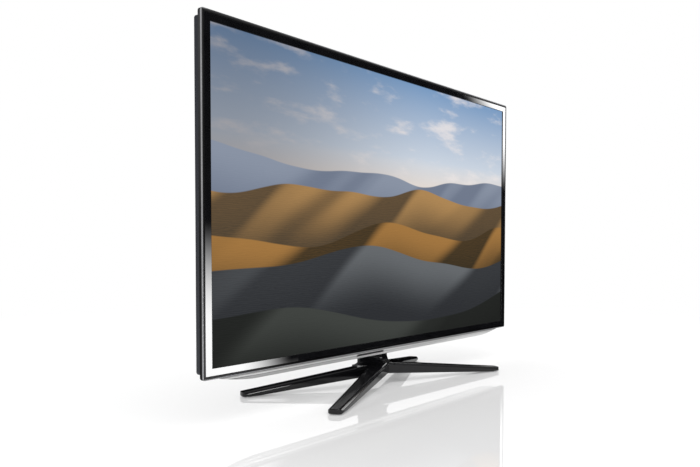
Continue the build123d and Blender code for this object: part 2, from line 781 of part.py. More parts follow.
def power_sinks():
    """Two upright heat sinks on the power board."""
    x0, x1, z0, z1 = power_place
    sinks = []
    for i in range(2):
        z = z1 - SINK_PITCH * (i + 1)
        x = x0 + BOARD_HOLE + SINK_PITCH / 2
        foot = block(x, x + SINK_LEN, board_back, board_back + SINK_T, z - SINK_H / 2, z)
        wall = block(x, x + SINK_LEN, board_back, board_back + SINK_H, z, z + SINK_T)
        sinks.append(foot + wall)
    return sinks


def processor_sink():
    """Finned block on the processor."""
    x0, x1, z0, z1 = main_place
    x = (x0 + x1) / 2
    z = (z0 + z1) / 2
    half = PROCESSOR_SINK / 2
    sink = block(x - half, x + half, board_back, board_back + SINK_BASE_T, z - half, z + half)
    pitch = (PROCESSOR_SINK - SINK_FIN_T) / (SINK_FIN_COUNT - 1)
    for i in range(SINK_FIN_COUNT):
        left = x - half + i * pitch
        sink += block(left, left + SINK_FIN_T, board_back, board_back + SINK_BASE_T + SINK_FIN_H,
                      z - half, z + half)
    return sink


def tuner_can():
    """Shielded tuner above the aerial socket."""
    wide, deep, high = TUNER
    z0 = down_bay_z + COVER_WALL + AERIAL_CAN[2] + SEAT_GAP
    x0 = aerial_x - wide / 2
    can = block(x0, x0 + wide, board_back, board_back + deep, z0, z0 + high)
    hollow = block(x0 + SHIELD_T, x0 + wide - SHIELD_T, board_back - OVERRUN,
                   board_back + deep - SHIELD_T, z0 + SHIELD_T, z0 + high - SHIELD_T)
    return can - hollow


def side_socket_middles(size, pitch, count, start):
    """Heights of a row of side sockets."""
    return [bay_z0 + start + size[0] / 2 + i * pitch for i in range(count)]


def usb_start():
    """First usb socket, above the row of picture sockets."""
    return SIDE_SOCKET_START + HDMI_COUNT * HDMI_PITCH


def card_middle():
    """Height of the card slot's middle, at the top of the bay."""
    start = usb_start() + USB_COUNT * USB_PITCH
    return bay_z0 + (start + bay_z1 - bay_z0) / 2


def side_socket(size, mouth, tongue, z):
    """Metal shell open to the side, with the tongue inside."""
    wide, high, deep = size
    face = bay_x - SOCKET_SUNK
    y = board_back + high / 2
    shell = block(face - deep, face, board_back, board_back + high, z - wide / 2, z + wide / 2)
    shell -= block(face - MOUTH_DEPTH, face + OVERRUN, y - mouth[1] / 2, y + mouth[1] / 2,
                   z - mouth[0] / 2, z + mouth[0] / 2)
    if tongue:
        shell += block(face - MOUTH_DEPTH, face - SOCKET_SUNK, y - tongue[1] / 2,
                       y + tongue[1] / 2, z - tongue[0] / 2, z + tongue[0] / 2)
    return shell


def hdmi_sockets():
    """Row of picture sockets."""
    middles = side_socket_middles(HDMI, HDMI_PITCH, HDMI_COUNT, SIDE_SOCKET_START)
    return [side_socket(HDMI, HDMI_MOUTH, HDMI_TONGUE, z) for z in middles]


def usb_sockets():
    """Row of usb sockets."""
    middles = side_socket_middles(USB, USB_PITCH, USB_COUNT, usb_start())
    return [side_socket(USB, USB_MOUTH, USB_TONGUE, z) for z in middles]


def card_slot():
    """Slot for a conditional access card."""
    return side_socket(CARD_SLOT, CARD_MOUTH, None, card_middle())


def down_sockets():
    """Place and size of each socket that faces down."""
    places = [(lan_x, LAN), (optical_x, OPTICAL), (aerial_x, AERIAL_CAN)]
    return places + [(x, JACK) for x in jack_xs]


def down_block(x, size, wall_z=down_bay_z, y=None):
    """Body of a socket that faces down, with its mouth just inside the bay's wall."""
    wide, high, deep = size
    middle = board_back + high / 2 if y is None else y
    face = wall_z + SOCKET_SUNK
    return block(x - wide / 2, x + wide / 2, middle - high / 2, middle + high / 2, face, face + deep)


def lan_socket():
    """Network socket."""
    y = board_back + LAN[1] / 2
    face = down_bay_z + SOCKET_SUNK
    wide, high = LAN_MOUTH
    mouth = block(lan_x - wide / 2, lan_x + wide / 2, y - high / 2, y + high / 2,
                  face - OVERRUN, face + LAN_MOUTH_DEPTH)
    return down_block(lan_x, LAN) - mouth


def optical_socket():
    """Optical sound socket with its shutter closed."""
    y = board_back + OPTICAL[1] / 2
    face = down_bay_z + SOCKET_SUNK
    wide, high = OPTICAL_RECESS
    recess = block(optical_x - wide / 2, optical_x + wide / 2, y - high / 2, y + high / 2,
                   face - OVERRUN, face + OPTICAL_RECESS_DEPTH)
    return down_block(optical_x, OPTICAL) - recess


def sound_jacks():
    """Two small round jacks."""
    jacks = []
    face = down_bay_z + SOCKET_SUNK
    y = board_back + JACK[1] / 2
    for x in jack_xs:
        jacks.append(down_block(x, JACK) - rod_z(JACK_R, face - OVERRUN, face + JACK_DEPTH, x, y))
    return jacks


def aerial_socket():
    """Threaded aerial connector on its can."""
    face = down_bay_z + SOCKET_SUNK
    y = board_back + AERIAL_CAN[1] / 2
    body = down_block(aerial_x, AERIAL_CAN)
    body += rod_z(AERIAL_R, face - AERIAL_LEN, face, aerial_x, y)
    return body - rod_z(AERIAL_BORE_R, face - AERIAL_LEN - OVERRUN, face, aerial_x, y)


def inlet_y():
    """Depth of the mains inlet's middle."""
    return board_back + INLET[1] / 2


def mains_inlet():
    """Two-pin mains inlet."""
    y = inlet_y()
    face = inlet_bay_z + SOCKET_SUNK
    wide, high = INLET_MOUTH
    shape = SlotOverall(wide, high)
    mouth_plane = Plane(origin=(inlet_x, y, face - OVERRUN), x_dir=(1, 0, 0), z_dir=(0, 0, 1))
    mouth = extrude(mouth_plane * shape, amount=INLET_MOUTH_DEPTH + OVERRUN)
    return down_block(inlet_x, INLET, inlet_bay_z, y) - mouth


def inlet_pins():
    """The inlet's two contact pins."""
    y = inlet_y()
    back = inlet_bay_z + SOCKET_SUNK + INLET_MOUTH_DEPTH
    return [rod_z(INLET_PIN_R, back - INLET_PIN_LEN, back, inlet_x + side * INLET_PIN_SPACING / 2, y)
            for side in (-1, 1)]


def speaker(side):
    """Slim speaker box that sounds downwards."""
    y0 = chassis_back + SPEAKER_LIFT
    x0, x1 = sorted((side * speaker_x0, side * speaker_x1))
    body = block(x0, x1, y0, y0 + SPEAKER_T, speaker_z0, speaker_z1)
    body = fillet(body.edges().filter_by(Axis.Y), SPEAKER_CORNER)
    x = side * (speaker_x1 - DRIVER_IN)
    y = y0 + SPEAKER_T / 2
    pocket = block(x - DRIVER_HALF, x + DRIVER_HALF, y - DRIVER_T / 2, y + DRIVER_T / 2,
                   speaker_z0 - OVERRUN, speaker_z0 + DRIVER_DEPTH)
    return body - pocket


def speaker_drivers():
    """One driver in each speaker box."""
    y = chassis_back + SPEAKER_LIFT + SPEAKER_T / 2
    half = DRIVER_HALF - SEAT_GAP
    deep = DRIVER_T / 2 - SEAT_GAP
    drivers = []
    for side in (-1, 1):
        x = side * (speaker_x1 - DRIVER_IN)
        drivers.append(block(x - half, x + half, y - deep, y + deep,
                             speaker_z0 + SPEAKER_WALL, speaker_z0 + DRIVER_DEPTH))
    return drivers


def radio_module():
    """Wireless board with its can, on the chassis."""
    wide, high = RADIO
    y0 = chassis_back
    card = block(radio_x - wide / 2, radio_x + wide / 2, y0, y0 + SOURCE_BOARD_T,
                 radio_z - high / 2, radio_z + high / 2)
    cw, cd, ch = RADIO_CAN
    can = block(radio_x - cw / 2, radio_x + cw / 2, y0 + SOURCE_BOARD_T,
                y0 + SOURCE_BOARD_T + cd, radio_z - ch / 2, radio_z + ch / 2)
    return card + can


def source_board(side):
    """Long narrow board along the chassis' lower edge."""
    x0, x1 = sorted((side * SOURCE_BOARD_X0, side * source_board_x1))
    z0 = picture_z - cell_z + SOURCE_BOARD_UP
    return block(x0, x1, chassis_back, chassis_back + SOURCE_BOARD_T, z0, z0 + SOURCE_BOARD_H)


def lip_outline(drop):
    """Lip seen from the front, with gently curved ends, cut off at the given drop."""
    top = FRAME_BOTTOM
    end = top - min(LIP_END_H, drop)
    low = top - drop
    reach = lip_half_full + (lip_half_top - lip_half_full) * (LIP_H - drop) / LIP_H
    reach = max(reach, lip_half_full)
    right = Spline((reach, low), (lip_half_top, end),
                   tangents=((1, 0), (lip_half_top - reach, end - low)))
    left = Spline((-reach, low), (-lip_half_top, end),
                  tangents=((-1, 0), (reach - lip_half_top, end - low)))
    edges = [Line((-reach, low), (reach, low)), right, left,
             Line((lip_half_top, end), (lip_half_top, top)),
             Line((lip_half_top, top), (-lip_half_top, top)),
             Line((-lip_half_top, top), (-lip_half_top, end))]
    return make_face(edges)


def lower_lip():
    """Silver lip: full-height back and an upper band that stands forward."""
    body = plate(lip_outline(LIP_H), LIP_Y0 + LIP_CROWN, LIP_Y1)
    top = FRAME_BOTTOM
    band = block(-lip_half_full, lip_half_full, LIP_Y0, LIP_Y0 + LIP_CROWN, top - LIP_BAND, top)
    body += band
    low = top - EYE_DROP - EYE_H / 2
    window = block(EYE_X0, EYE_X1, LIP_Y0 - OVERRUN, LIP_Y0 + EYE_T + SEAT_GAP, low, low + EYE_H)
    return body - window


def eye_window():
    """Smoked window that the remote control's eye looks through."""
    low = FRAME_BOTTOM - EYE_DROP - EYE_H / 2
    return block(EYE_X0 + SEAT_GAP, EYE_X1 - SEAT_GAP, LIP_Y0, LIP_Y0 + EYE_T + SEAT_GAP,
                 low + SEAT_GAP, low + EYE_H - SEAT_GAP)


def eye_board():
    """Small board behind the lip that carries the eye and the standby lamp."""
    wide, deep, high = EYE_BOARD
    x = (EYE_X0 + EYE_X1) / 2
    top = FRAME_BOTTOM - SEAT_GAP
    return block(x - wide / 2, x + wide / 2, LIP_Y1, LIP_Y1 + deep, top - high, top)


def leg_section(run, turn_x, turn_y, width, top, under):
    """Cross-section of a leg at a distance along it."""
    half = width / 2
    side_top = top - LEG_CHAMFER_H
    side_low = under + LEG_UNDER_CHAMFER
    points = [(-half, side_low), (-half, side_top), (-half + LEG_CHAMFER, top),
              (half - LEG_CHAMFER, top), (half, side_top), (half, side_low),
              (half - LEG_UNDER_CHAMFER, under), (-half + LEG_UNDER_CHAMFER, under)]
    plane = Plane(origin=(run * turn_x, run * turn_y, 0), x_dir=(-turn_y, turn_x, 0),
                  z_dir=(turn_x, turn_y, 0))
    return plane * make_face(Polyline(*points, close=True))


def tip_rounding(turn_x, turn_y):
    """What is cut away to round the two corners of a leg's end."""
    wide = TIP_W + (ROOT_W - TIP_W) * TIP_ROUND / leg_run
    end = Pos(leg_run - TIP_W, 0) * RectangleRounded(2 * TIP_W, wide, TIP_ROUND)
    around = Pos(leg_run + TIP_W / 2 - TIP_ROUND, 0) * Rectangle(TIP_W, 2 * TIP_W)
    plane = Plane(origin=(0, 0, 0), x_dir=(turn_x, turn_y, 0), z_dir=(0, 0, 1))
    return extrude(plane * (around - end), amount=ROOT_TOP)


def leg(side_x, side_y):
    """One leg from the middle of the stand to its tip."""
    turn_x = side_x * LEG_TIP_X / leg_run
    turn_y = side_y * LEG_TIP_Y / leg_run
    foot = leg_run - FOOT_LEN
    foot_share = foot / leg_run
    foot_w = ROOT_W + (TIP_W - ROOT_W) * foot_share
    foot_top = ROOT_TOP + (TIP_TOP - ROOT_TOP) * foot_share
    root = leg_section(0, turn_x, turn_y, ROOT_W, ROOT_TOP, HUB_UNDER)
    heel = leg_section(foot, turn_x, turn_y, foot_w, foot_top, TIP_CLEAR)
    tip = leg_section(leg_run, turn_x, turn_y, TIP_W, TIP_TOP, TIP_CLEAR)
    limb = loft([root, heel, tip], ruled=True)
    return limb - tip_rounding(turn_x, turn_y)


def neck_outline(grow):
    """Plan of the neck: narrow in front, wide behind."""
    points = [(-NECK_FRONT_HALF, NECK_FRONT_Y), (NECK_FRONT_HALF, NECK_FRONT_Y),
              (NECK_BACK_HALF, NECK_SHOULDER_Y), (NECK_BACK_HALF, NECK_BACK_Y),
              (-NECK_BACK_HALF, NECK_BACK_Y), (-NECK_BACK_HALF, NECK_SHOULDER_Y)]
    shape = make_face(Polyline(*points, close=True))
    if grow > 0:
        shape = offset(shape, amount=grow, kind=Kind.INTERSECTION)
    return shape


def leg_tops():
    """Upright block over the flat tops of the legs, where the neck may flare."""
    root_half = ROOT_W / 2 - LEG_CHAMFER
    tip_half = TIP_W / 2 - LEG_CHAMFER
    plan = make_face(Polyline((0, -root_half), (leg_run, -tip_half), (leg_run, tip_half),
                              (0, root_half), close=True))
    tops = []
    for side_x in (-1, 1):
        for side_y in (-1, 1):
            plane = Plane(origin=(0, 0, HUB_UNDER), x_dir=(side_x * LEG_TIP_X, side_y * LEG_TIP_Y, 0),
                          z_dir=(0, 0, 1))
            tops.append(extrude(plane * plan, amount=NECK_TOP))
    return tops[0].fuse(*tops[1:])


def neck():
    """Neck that flares into the legs along an arc."""
    flare_low = ROOT_TOP - FLARE_SINK
    sections = []
    for i in range(FLARE_STEPS + 1):
        turn = pi / 2 * i / FLARE_STEPS
        level = flare_low + NECK_FLARE_R * (1 - sin(turn))
        sections.append(Pos(0, 0, level) * neck_outline(NECK_FLARE_R * (1 - cos(turn))))
    flare = loft(sections, ruled=True)
    flare += extrude(Pos(0, 0, HUB_UNDER) * neck_outline(NECK_FLARE_R), amount=flare_low - HUB_UNDER)
    flare = flare & leg_tops()
    core = extrude(Pos(0, 0, HUB_UNDER) * neck_outline(0), amount=NECK_TOP - HUB_UNDER)
    lid = block(-leg_run, leg_run, -leg_run, leg_run, NECK_TOP, NECK_TOP + leg_run)
    return flare + core - lid


def stand_casting():
    """Four legs and the neck in one casting, with the swivel's pocket and bore."""
    body = neck()
    for side_x in (-1, 1):
        for side_y in (-1, 1):
            body += leg(side_x, side_y)
    body -= rod_z(SWIVEL_POCKET_R, pocket_floor, NECK_TOP + OVERRUN, 0, SWIVEL_Y)
    body -= rod_z(SWIVEL_PIN_R + RUN_GAP, HUB_UNDER - OVERRUN, NECK_TOP, 0, SWIVEL_Y)
    body -= rod_z(HUB_POCKET_R, HUB_UNDER - OVERRUN, HUB_POCKET_TOP, 0, SWIVEL_Y)
    for x, y in ring_places(PLATE_SCREW_COUNT, PLATE_SCREW_AT, 0):
        body -= rod_z(PLATE_SCREW_R + RUN_GAP, pocket_floor - PLATE_SCREW_LEN, NECK_TOP, x, y)
    body -= rod_z(BOTTOM_COVER_R + RUN_GAP, 0, HUB_UNDER, 0, SWIVEL_Y)
    for x, y in ring_places(BOTTOM_SCREW_COUNT, BOTTOM_SCREW_AT, BOTTOM_SCREW_TURN_SHARE):
        body -= rod_z(BOTTOM_SCREW_R + RUN_GAP, HUB_UNDER - OVERRUN,
                      HUB_UNDER + BOTTOM_SCREW_LEN, x, y)
    for x, y in pad_places():
        body -= rod_z(PAD_R + RUN_GAP, 0, PAD_T, x, y)
    return body


def ring_places(count, radius, start_turns):
    """Places on a circle about the swivel axis."""
    turn = 2 * pi
    places = []
    for i in range(count):
        angle = turn * (start_turns + i / count)
        places.append((radius * cos(angle), SWIVEL_Y + radius * sin(angle)))
    return places


def pad_places():
    """Middles of the rubber pads."""
    share = (leg_run - PAD_IN) / leg_run
    return [(sx * share * LEG_TIP_X, sy * share * LEG_TIP_Y) for sx in (-1, 1) for sy in (-1, 1)]


def swivel_lower_plate():
    """Steel disc fixed in the neck, with the stud that stops the swivel."""
    disc = rod_z(SWIVEL_PLATE_R, pocket_floor, washer_z, 0, SWIVEL_Y)
    disc -= rod_z(SWIVEL_PIN_R + RUN_GAP, pocket_floor - OVERRUN, washer_z + OVERRUN, 0, SWIVEL_Y)
    for x, y in ring_places(PLATE_SCREW_COUNT, PLATE_SCREW_AT, 0):
        disc -= rod_z(PLATE_SCREW_R + RUN_GAP, pocket_floor - OVERRUN, washer_z + OVERRUN, x, y)
    for x, y in ring_places(1, STUD_AT, STUD_TURN_SHARE):
        disc += rod_z(STUD_R, pocket_floor, upper_plate_top - SEAT_GAP, x, y)
    return disc


def swivel_washer():
    """Slippery ring between the two discs."""
    ring = rod_z(STUD_AT - STUD_R - SEAT_GAP, washer_z, upper_plate_z, 0, SWIVEL_Y)
    return ring - rod_z(SWIVEL_PIN_R + RUN_GAP, washer_z - OVERRUN, upper_plate_z + OVERRUN,
                        0, SWIVEL_Y)


def stud_slot():
    """Arc that the stop stud runs in."""
    half = STUD_R + SEAT_GAP
    spare = degrees(atan2(SEAT_GAP + STUD_R, STUD_AT))
    ring = rod_z(STUD_AT + half, upper_plate_z - OVERRUN, upper_plate_top + OVERRUN, 0, SWIVEL_Y)
    ring -= rod_z(STUD_AT - half, upper_plate_z - 2 * OVERRUN, upper_plate_top + 2 * OVERRUN,
                  0, SWIVEL_Y)
    span = radians(SWIVEL_LIMIT + spare)
    reach = 2 * STUD_AT
    wedge_points = [(0, 0), (-reach * sin(span), reach * cos(span)), (0, reach / cos(span)),
                    (reach * sin(span), reach * cos(span))]
    wedge_shape = make_face(Polyline(*wedge_points, close=True))
    low = upper_plate_z - OVERRUN
    wedge = extrude(Pos(0, SWIVEL_Y, low) * wedge_shape, amount=SWIVEL_PLATE_T + 2 * OVERRUN)
    return ring & wedge


def swivel_upper_plate():
    """Steel disc that turns with the screen."""
    disc = rod_z(SWIVEL_PLATE_R, upper_plate_z, upper_plate_top, 0, SWIVEL_Y)
    disc -= rod_z(SWIVEL_PIN_R + RUN_GAP, upper_plate_z - OVERRUN, upper_plate_top + OVERRUN,
                  0, SWIVEL_Y)
    return disc - stud_slot()


def swivel_pin():
    """Headed pin that clamps the swivel together."""
    nut_low = HUB_POCKET_TOP - NUT_T
    pin = rod_z(SWIVEL_PIN_R, nut_low - PIN_BELOW_NUT, upper_plate_top + RUN_GAP, 0, SWIVEL_Y)
    head_z = upper_plate_top + RUN_GAP
    return pin + rod_z(PIN_HEAD_R, head_z, head_z + PIN_HEAD_T, 0, SWIVEL_Y)


def swivel_nut():
    """Nut under the neck's floor."""
    low = HUB_POCKET_TOP - NUT_T
    nut = extrude(Pos(0, SWIVEL_Y, low) * RegularPolygon(NUT_R, 6), amount=NUT_T)
    return nut - rod_z(SWIVEL_PIN_R, low - OVERRUN, HUB_POCKET_TOP + OVERRUN, 0, SWIVEL_Y)


def swivel_screws():
    """Countersunk screws of the lower disc."""
    screws = []
    for x, y in ring_places(PLATE_SCREW_COUNT, PLATE_SCREW_AT, 0):
        screws.append(rod_z(PLATE_SCREW_R, washer_z - PLATE_SCREW_LEN, washer_z, x, y))
    return screws


def stand_bracket():
    """Steel angle from the upper disc to the back of the screen."""
    flange = rod_z(SWIVEL_PLATE_R, upper_plate_top, bracket_flange_top, 0, SWIVEL_Y)
    flange += block(-SWIVEL_PLATE_R / 2, SWIVEL_PLATE_R / 2, bracket_y, SWIVEL_Y,
                    upper_plate_top, bracket_flange_top)
    flange -= rod_z(PIN_HEAD_R + BRACKET_HOLE_GAP, upper_plate_top - OVERRUN,
                    bracket_flange_top + OVERRUN, 0, SWIVEL_Y)
    stem = block(-SWIVEL_PLATE_R / 2, SWIVEL_PLATE_R / 2, bracket_y, bracket_y + BRACKET_T,
                 upper_plate_top, bracket_top)
    rise = FRAME_BOTTOM + COVER_INSET + SEAT_GAP
    wing = block(-BRACKET_HALF, BRACKET_HALF, bracket_y, bracket_y + BRACKET_T, rise, bracket_top)
    body = flange + stem + wing
    for x, z in bracket_screw_places():
        body -= rod_y(BRACKET_SCREW_R + SEAT_GAP, bracket_y - OVERRUN,
                      bracket_y + BRACKET_T + OVERRUN, x, z)
    return body


def bracket_screws():
    """Screws through the bracket and the cover into the chassis."""
    return [screw_y(BRACKET_SCREW_R, BRACKET_SCREW_HEAD_R, BRACKET_SCREW_HEAD_T,
                    BRACKET_SCREW_LEN, x, bracket_y + BRACKET_T, z)
            for x, z in bracket_screw_places()]


def shroud_section(z, front_half, front, back_half, shoulder, back, inset):
    """Plan of the shroud at one height, drawn in by inset."""
    points = [(-front_half, front), (front_half, front), (back_half, shoulder),
              (back_half, back), (-back_half, back), (-back_half, shoulder)]
    shape = make_face(Polyline(*points, close=True))
    if inset > 0:
        shape = offset(shape, amount=-inset, kind=Kind.INTERSECTION)
    return Pos(0, 0, z) * shape


def shroud_block(inset):
    """Solid form of the shroud: the neck's plan below, a flat box behind the screen above."""
    foot = shroud_section(NECK_TOP + SHROUD_GAP - inset, NECK_FRONT_HALF, NECK_FRONT_Y,
                          NECK_BACK_HALF, NECK_SHOULDER_Y, NECK_BACK_Y, inset)
    waist = shroud_section(FRAME_BOTTOM + COVER_INSET, SHROUD_WAIST_HALF, NECK_FRONT_Y,
                           NECK_BACK_HALF, SHROUD_WAIST_SHOULDER, SHROUD_WAIST_BACK, inset)
    head = shroud_section(shroud_top - inset, SHROUD_TOP_HALF - SHROUD_WALL, NECK_FRONT_Y,
                          SHROUD_TOP_HALF, SHROUD_TOP_SHOULDER, SHROUD_TOP_BACK, inset)
    return loft([foot, waist, head], ruled=True)


def neck_shroud():
    """Plastic cover round the bracket, open below and towards the screen."""
    shell = shroud_block(0) - shroud_block(SHROUD_WALL)
    step = FRAME_BOTTOM + COVER_INSET - SEAT_GAP
    half = BRACKET_HALF + SEAT_GAP
    front = NECK_FRONT_Y - OVERRUN
    shell -= block(-frame_x, frame_x, front, bracket_y, step, shroud_top + OVERRUN)
    return shell - block(-half, half, front, bracket_y + BRACKET_T + SEAT_GAP,
                         step, bracket_top + SEAT_GAP)


def bottom_cover():
    """Round plate under the hub."""
    disc = rod_z(BOTTOM_COVER_R, HUB_UNDER - BOTTOM_COVER_T, HUB_UNDER, 0, SWIVEL_Y)
    for x, y in ring_places(BOTTOM_SCREW_COUNT, BOTTOM_SCREW_AT, BOTTOM_SCREW_TURN_SHARE):
        disc -= rod_z(BOTTOM_SCREW_R + RUN_GAP, HUB_UNDER - BOTTOM_COVER_T - OVERRUN,
                      HUB_UNDER + OVERRUN, x, y)
    return disc


def bottom_screws():
    """Screws of the hub's bottom cover."""
    screws = []
    head = HUB_UNDER - BOTTOM_COVER_T
    for x, y in ring_places(BOTTOM_SCREW_COUNT, BOTTOM_SCREW_AT, BOTTOM_SCREW_TURN_SHARE):
        shank = rod_z(BOTTOM_SCREW_R, head, head + BOTTOM_SCREW_LEN, x, y)
        screws.append(shank + rod_z(BOTTOM_SCREW_HEAD_R, head - BOTTOM_SCREW_HEAD_T, head, x, y))
    return screws


def stick_pivot_y():
    """Depth of the control stick's pivot."""
    return rim_back + STICK_PIVOT_UP


def stick_housing():
    """Block on the rim that holds the control stick."""
    half = STICK_BLOCK / 2
    shape = outline(stick_x - half, stick_x + half, stick_z - half, stick_z + half, STICK_BLOCK_R)
    body = plate(shape, rim_back, rim_back + STICK_BLOCK_T)
    body -= rod_y(STICK_BORE_R, rim_back - OVERRUN, rim_back + STICK_BLOCK_T + OVERRUN,
                  stick_x, stick_z)
    reach = GIMBAL_R + TRUNNION_LEN + SEAT_GAP
    return body - rod_x(TRUNNION_R + RUN_GAP, stick_x - reach, stick_x + reach,
                        stick_pivot_y(), stick_z)


def gimbal_ring():
    """Ring that rocks about X in the housing."""
    y = stick_pivot_y()
    ring = rod_y(GIMBAL_R, y - GIMBAL_T / 2, y + GIMBAL_T / 2, stick_x, stick_z)
    reach = GIMBAL_R + TRUNNION_LEN
    ring += rod_x(TRUNNION_R, stick_x - reach, stick_x + reach, y, stick_z)
    ring -= rod_y(GIMBAL_BORE_R, y - GIMBAL_T, y + GIMBAL_T, stick_x, stick_z)
    return ring - rod_z(TRUNNION_R - RUN_GAP * 2, stick_z - reach, stick_z + reach, stick_x, y)


def stick_stem():
    """Disc that rocks about Z in the ring, with the tube for the knob's pin."""
    y = stick_pivot_y()
    disc = rod_y(STEM_R, y - GIMBAL_T / 2, y + GIMBAL_T / 2, stick_x, stick_z)
    disc += rod_y(STEM_TUBE_R, y, y + STEM_TUBE_H, stick_x, stick_z)
    disc += rod_z(TRUNNION_R - RUN_GAP * 3, stick_z - GIMBAL_R + SEAT_GAP,
                  stick_z + GIMBAL_R - SEAT_GAP, stick_x, y)
    return disc - rod_y(STICK_PIN_R + RUN_GAP, y - GIMBAL_T, y + 2 * STEM_TUBE_H, stick_x, stick_z)


def stick_knob():
    """Knob whose pin slides in the stem."""
    y = stick_pivot_y()
    cap_y = y + STEM_TUBE_H + STICK_CAP_GAP
    cap = rod_y(STICK_CAP_R, cap_y, cap_y + STICK_CAP_T, stick_x, stick_z)
    cap = fillet(cap.edges().group_by(Axis.Y)[-1], STICK_CAP_GAP)
    return cap + rod_y(STICK_PIN_R, y, cap_y, stick_x, stick_z)


def signal_ribbon():
    """Flat ribbon from the main board to the timing board."""
    z = (timing_place[2] + timing_place[3]) / 2 + BOARD_HOLE
    x0 = timing_place[1] - BOARD_HOLE * 2
    x1 = main_place[0] + BOARD_HOLE * 2
    y = board_back
    lift = y + HARNESS_R
    strip = block(x0, x1, lift, lift + RIBBON_T, z - RIBBON_W / 2, z + RIBBON_W / 2)
    for x in (x0, x1 - RIBBON_T):
        strip += block(x, x + RIBBON_T, y, lift + RIBBON_T, z - RIBBON_W / 2, z + RIBBON_W / 2)
    return strip


def power_harness():
    """Bundle of wires from the power board to the main board."""
    z = (power_place[2] + main_place[3]) / 2
    y = board_back + HARNESS_BEND
    start = (power_place[1] - HARNESS_BEND, board_back, z)
    end = (main_place[0] + HARNESS_BEND * 2, board_back, z + HARNESS_BEND * 2)
    path = FilletPolyline(start, (start[0], y, z), (end[0], y, end[2]), end,
                          radius=HARNESS_BEND * HARNESS_ROUND_SHARE)
    profile = Plane(origin=start, z_dir=(0, 1, 0)) * Circle(HARNESS_R)
    return sweep(profile, path=path)


SINGLE_NODES = {
    "front_bezel": front_bezel,
    "clear_edge": clear_edge,
    "mould_frame": mould_frame,
    "rear_cover": rear_cover,
    "processor_heat_sink": processor_sink,
    "tuner_can": tuner_can,
    "card_slot": card_slot,
    "lan_socket": lan_socket,
    "optical_socket": optical_socket,
    "aerial_socket": aerial_socket,
    "mains_inlet": mains_inlet,
    "wireless_module": radio_module,
    "lower_lip": lower_lip,
    "eye_window": eye_window,
    "eye_board": eye_board,
    "stand_casting": stand_casting,
    "swivel_lower_plate": swivel_lower_plate,
    "swivel_washer": swivel_washer,
    "swivel_upper_plate": swivel_upper_plate,
    "swivel_pin": swivel_pin,
    "swivel_nut": swivel_nut,
    "stand_bracket": stand_bracket,
    "neck_shroud": neck_shroud,
    "hub_bottom_cover": bottom_cover,
    "stick_housing": stick_housing,
    "stick_gimbal_ring": gimbal_ring,
    "stick_stem": stick_stem,
    "stick_knob": stick_knob,
    "signal_ribbon": signal_ribbon,
    "power_harness": power_harness,
}

for name, make in SINGLE_NODES.items():
    save(name, make())

save("lcd_cell", layer(cell_x, cell_z, GLASS_Y, CELL_T))
save("brightness_film", layer(guide_x, guide_z, ledge_back, FILM_T))
save("diffuser_film", layer(guide_x, guide_z, diffuser_y, FILM_T))
save("light_guide", layer(guide_x, guide_z, guide_y, GUIDE_T))
save("reflector_sheet", layer(guide_x, guide_z, reflector_y, REFLECTOR_T))
save("led_bars", group([led_bar(1), led_bar(-1)]))
save("led_packages", group(led_row(1) + led_row(-1)))
save("led_heat_spreaders", group([led_spreader(1), led_spreader(-1)]))
save("chassis", group(chassis()))
save("connector_bays", group(connector_bays()))
save("wall_mount_posts", group(vesa_posts()))
save("power_board", board(power_place))
save("main_board", board(main_place))
save("timing_board", board(timing_place))
save("source_boards", group([source_board(-1), source_board(1)]))
save("board_screws", group(board_screws()))
save("power_capacitors", group(power_capacitors()))
save("power_transformers", group(power_transformers()))
save("power_heat_sinks", group(power_sinks()))
save("hdmi_sockets", group(hdmi_sockets()))
save("usb_sockets", group(usb_sockets()))
save("sound_jacks", group(sound_jacks()))
save("inlet_pins", group(inlet_pins()))
save("speakers", group([speaker(-1), speaker(1)]))
save("speaker_drivers", group(speaker_drivers()))
save("foot_pads", group([rod_z(PAD_R, 0, PAD_T, x, y) for x, y in pad_places()]))
save("swivel_screws", group(swivel_screws()))
save("bracket_screws", group(bracket_screws()))
save("bottom_cover_screws", group(bottom_screws()))
save("cover_screws", group([screw_y(SCREW_R, SCREW_HEAD_R, SCREW_HEAD_T, SCREW_LEN, x, rim_back, z)
                            for x, z in rim_screw_places()]))
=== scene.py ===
# %% [markdown]
# # A flat screen tv on a four-legged swivel stand
# The solid parts of this set come packed from the CAD side, and this lesson dresses them:
# it rebuilds the pieces that need softer edges or finer detail, and gives every piece a finish.
# The frame is loaded first, because the places and the main sizes are read from it.

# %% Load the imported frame
import json
from math import cos, pi, radians, sin

import bmesh
import bpy
from mathutils import Matrix, Vector


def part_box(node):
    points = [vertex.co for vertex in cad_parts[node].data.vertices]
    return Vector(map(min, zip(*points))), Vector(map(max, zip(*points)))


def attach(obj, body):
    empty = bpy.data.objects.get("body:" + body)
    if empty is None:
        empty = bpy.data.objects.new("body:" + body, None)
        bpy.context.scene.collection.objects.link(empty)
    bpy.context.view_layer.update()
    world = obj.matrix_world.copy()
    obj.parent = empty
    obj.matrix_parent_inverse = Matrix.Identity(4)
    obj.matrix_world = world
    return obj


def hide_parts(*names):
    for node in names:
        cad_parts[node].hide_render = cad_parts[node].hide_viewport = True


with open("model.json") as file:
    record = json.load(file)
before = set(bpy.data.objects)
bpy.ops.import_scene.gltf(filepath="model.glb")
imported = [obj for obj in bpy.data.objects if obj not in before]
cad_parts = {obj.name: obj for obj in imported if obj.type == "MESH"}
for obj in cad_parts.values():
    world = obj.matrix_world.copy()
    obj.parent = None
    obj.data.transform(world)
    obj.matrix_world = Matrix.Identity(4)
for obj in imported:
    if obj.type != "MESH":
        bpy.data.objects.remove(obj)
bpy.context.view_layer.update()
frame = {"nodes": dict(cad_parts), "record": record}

MM = 0.001

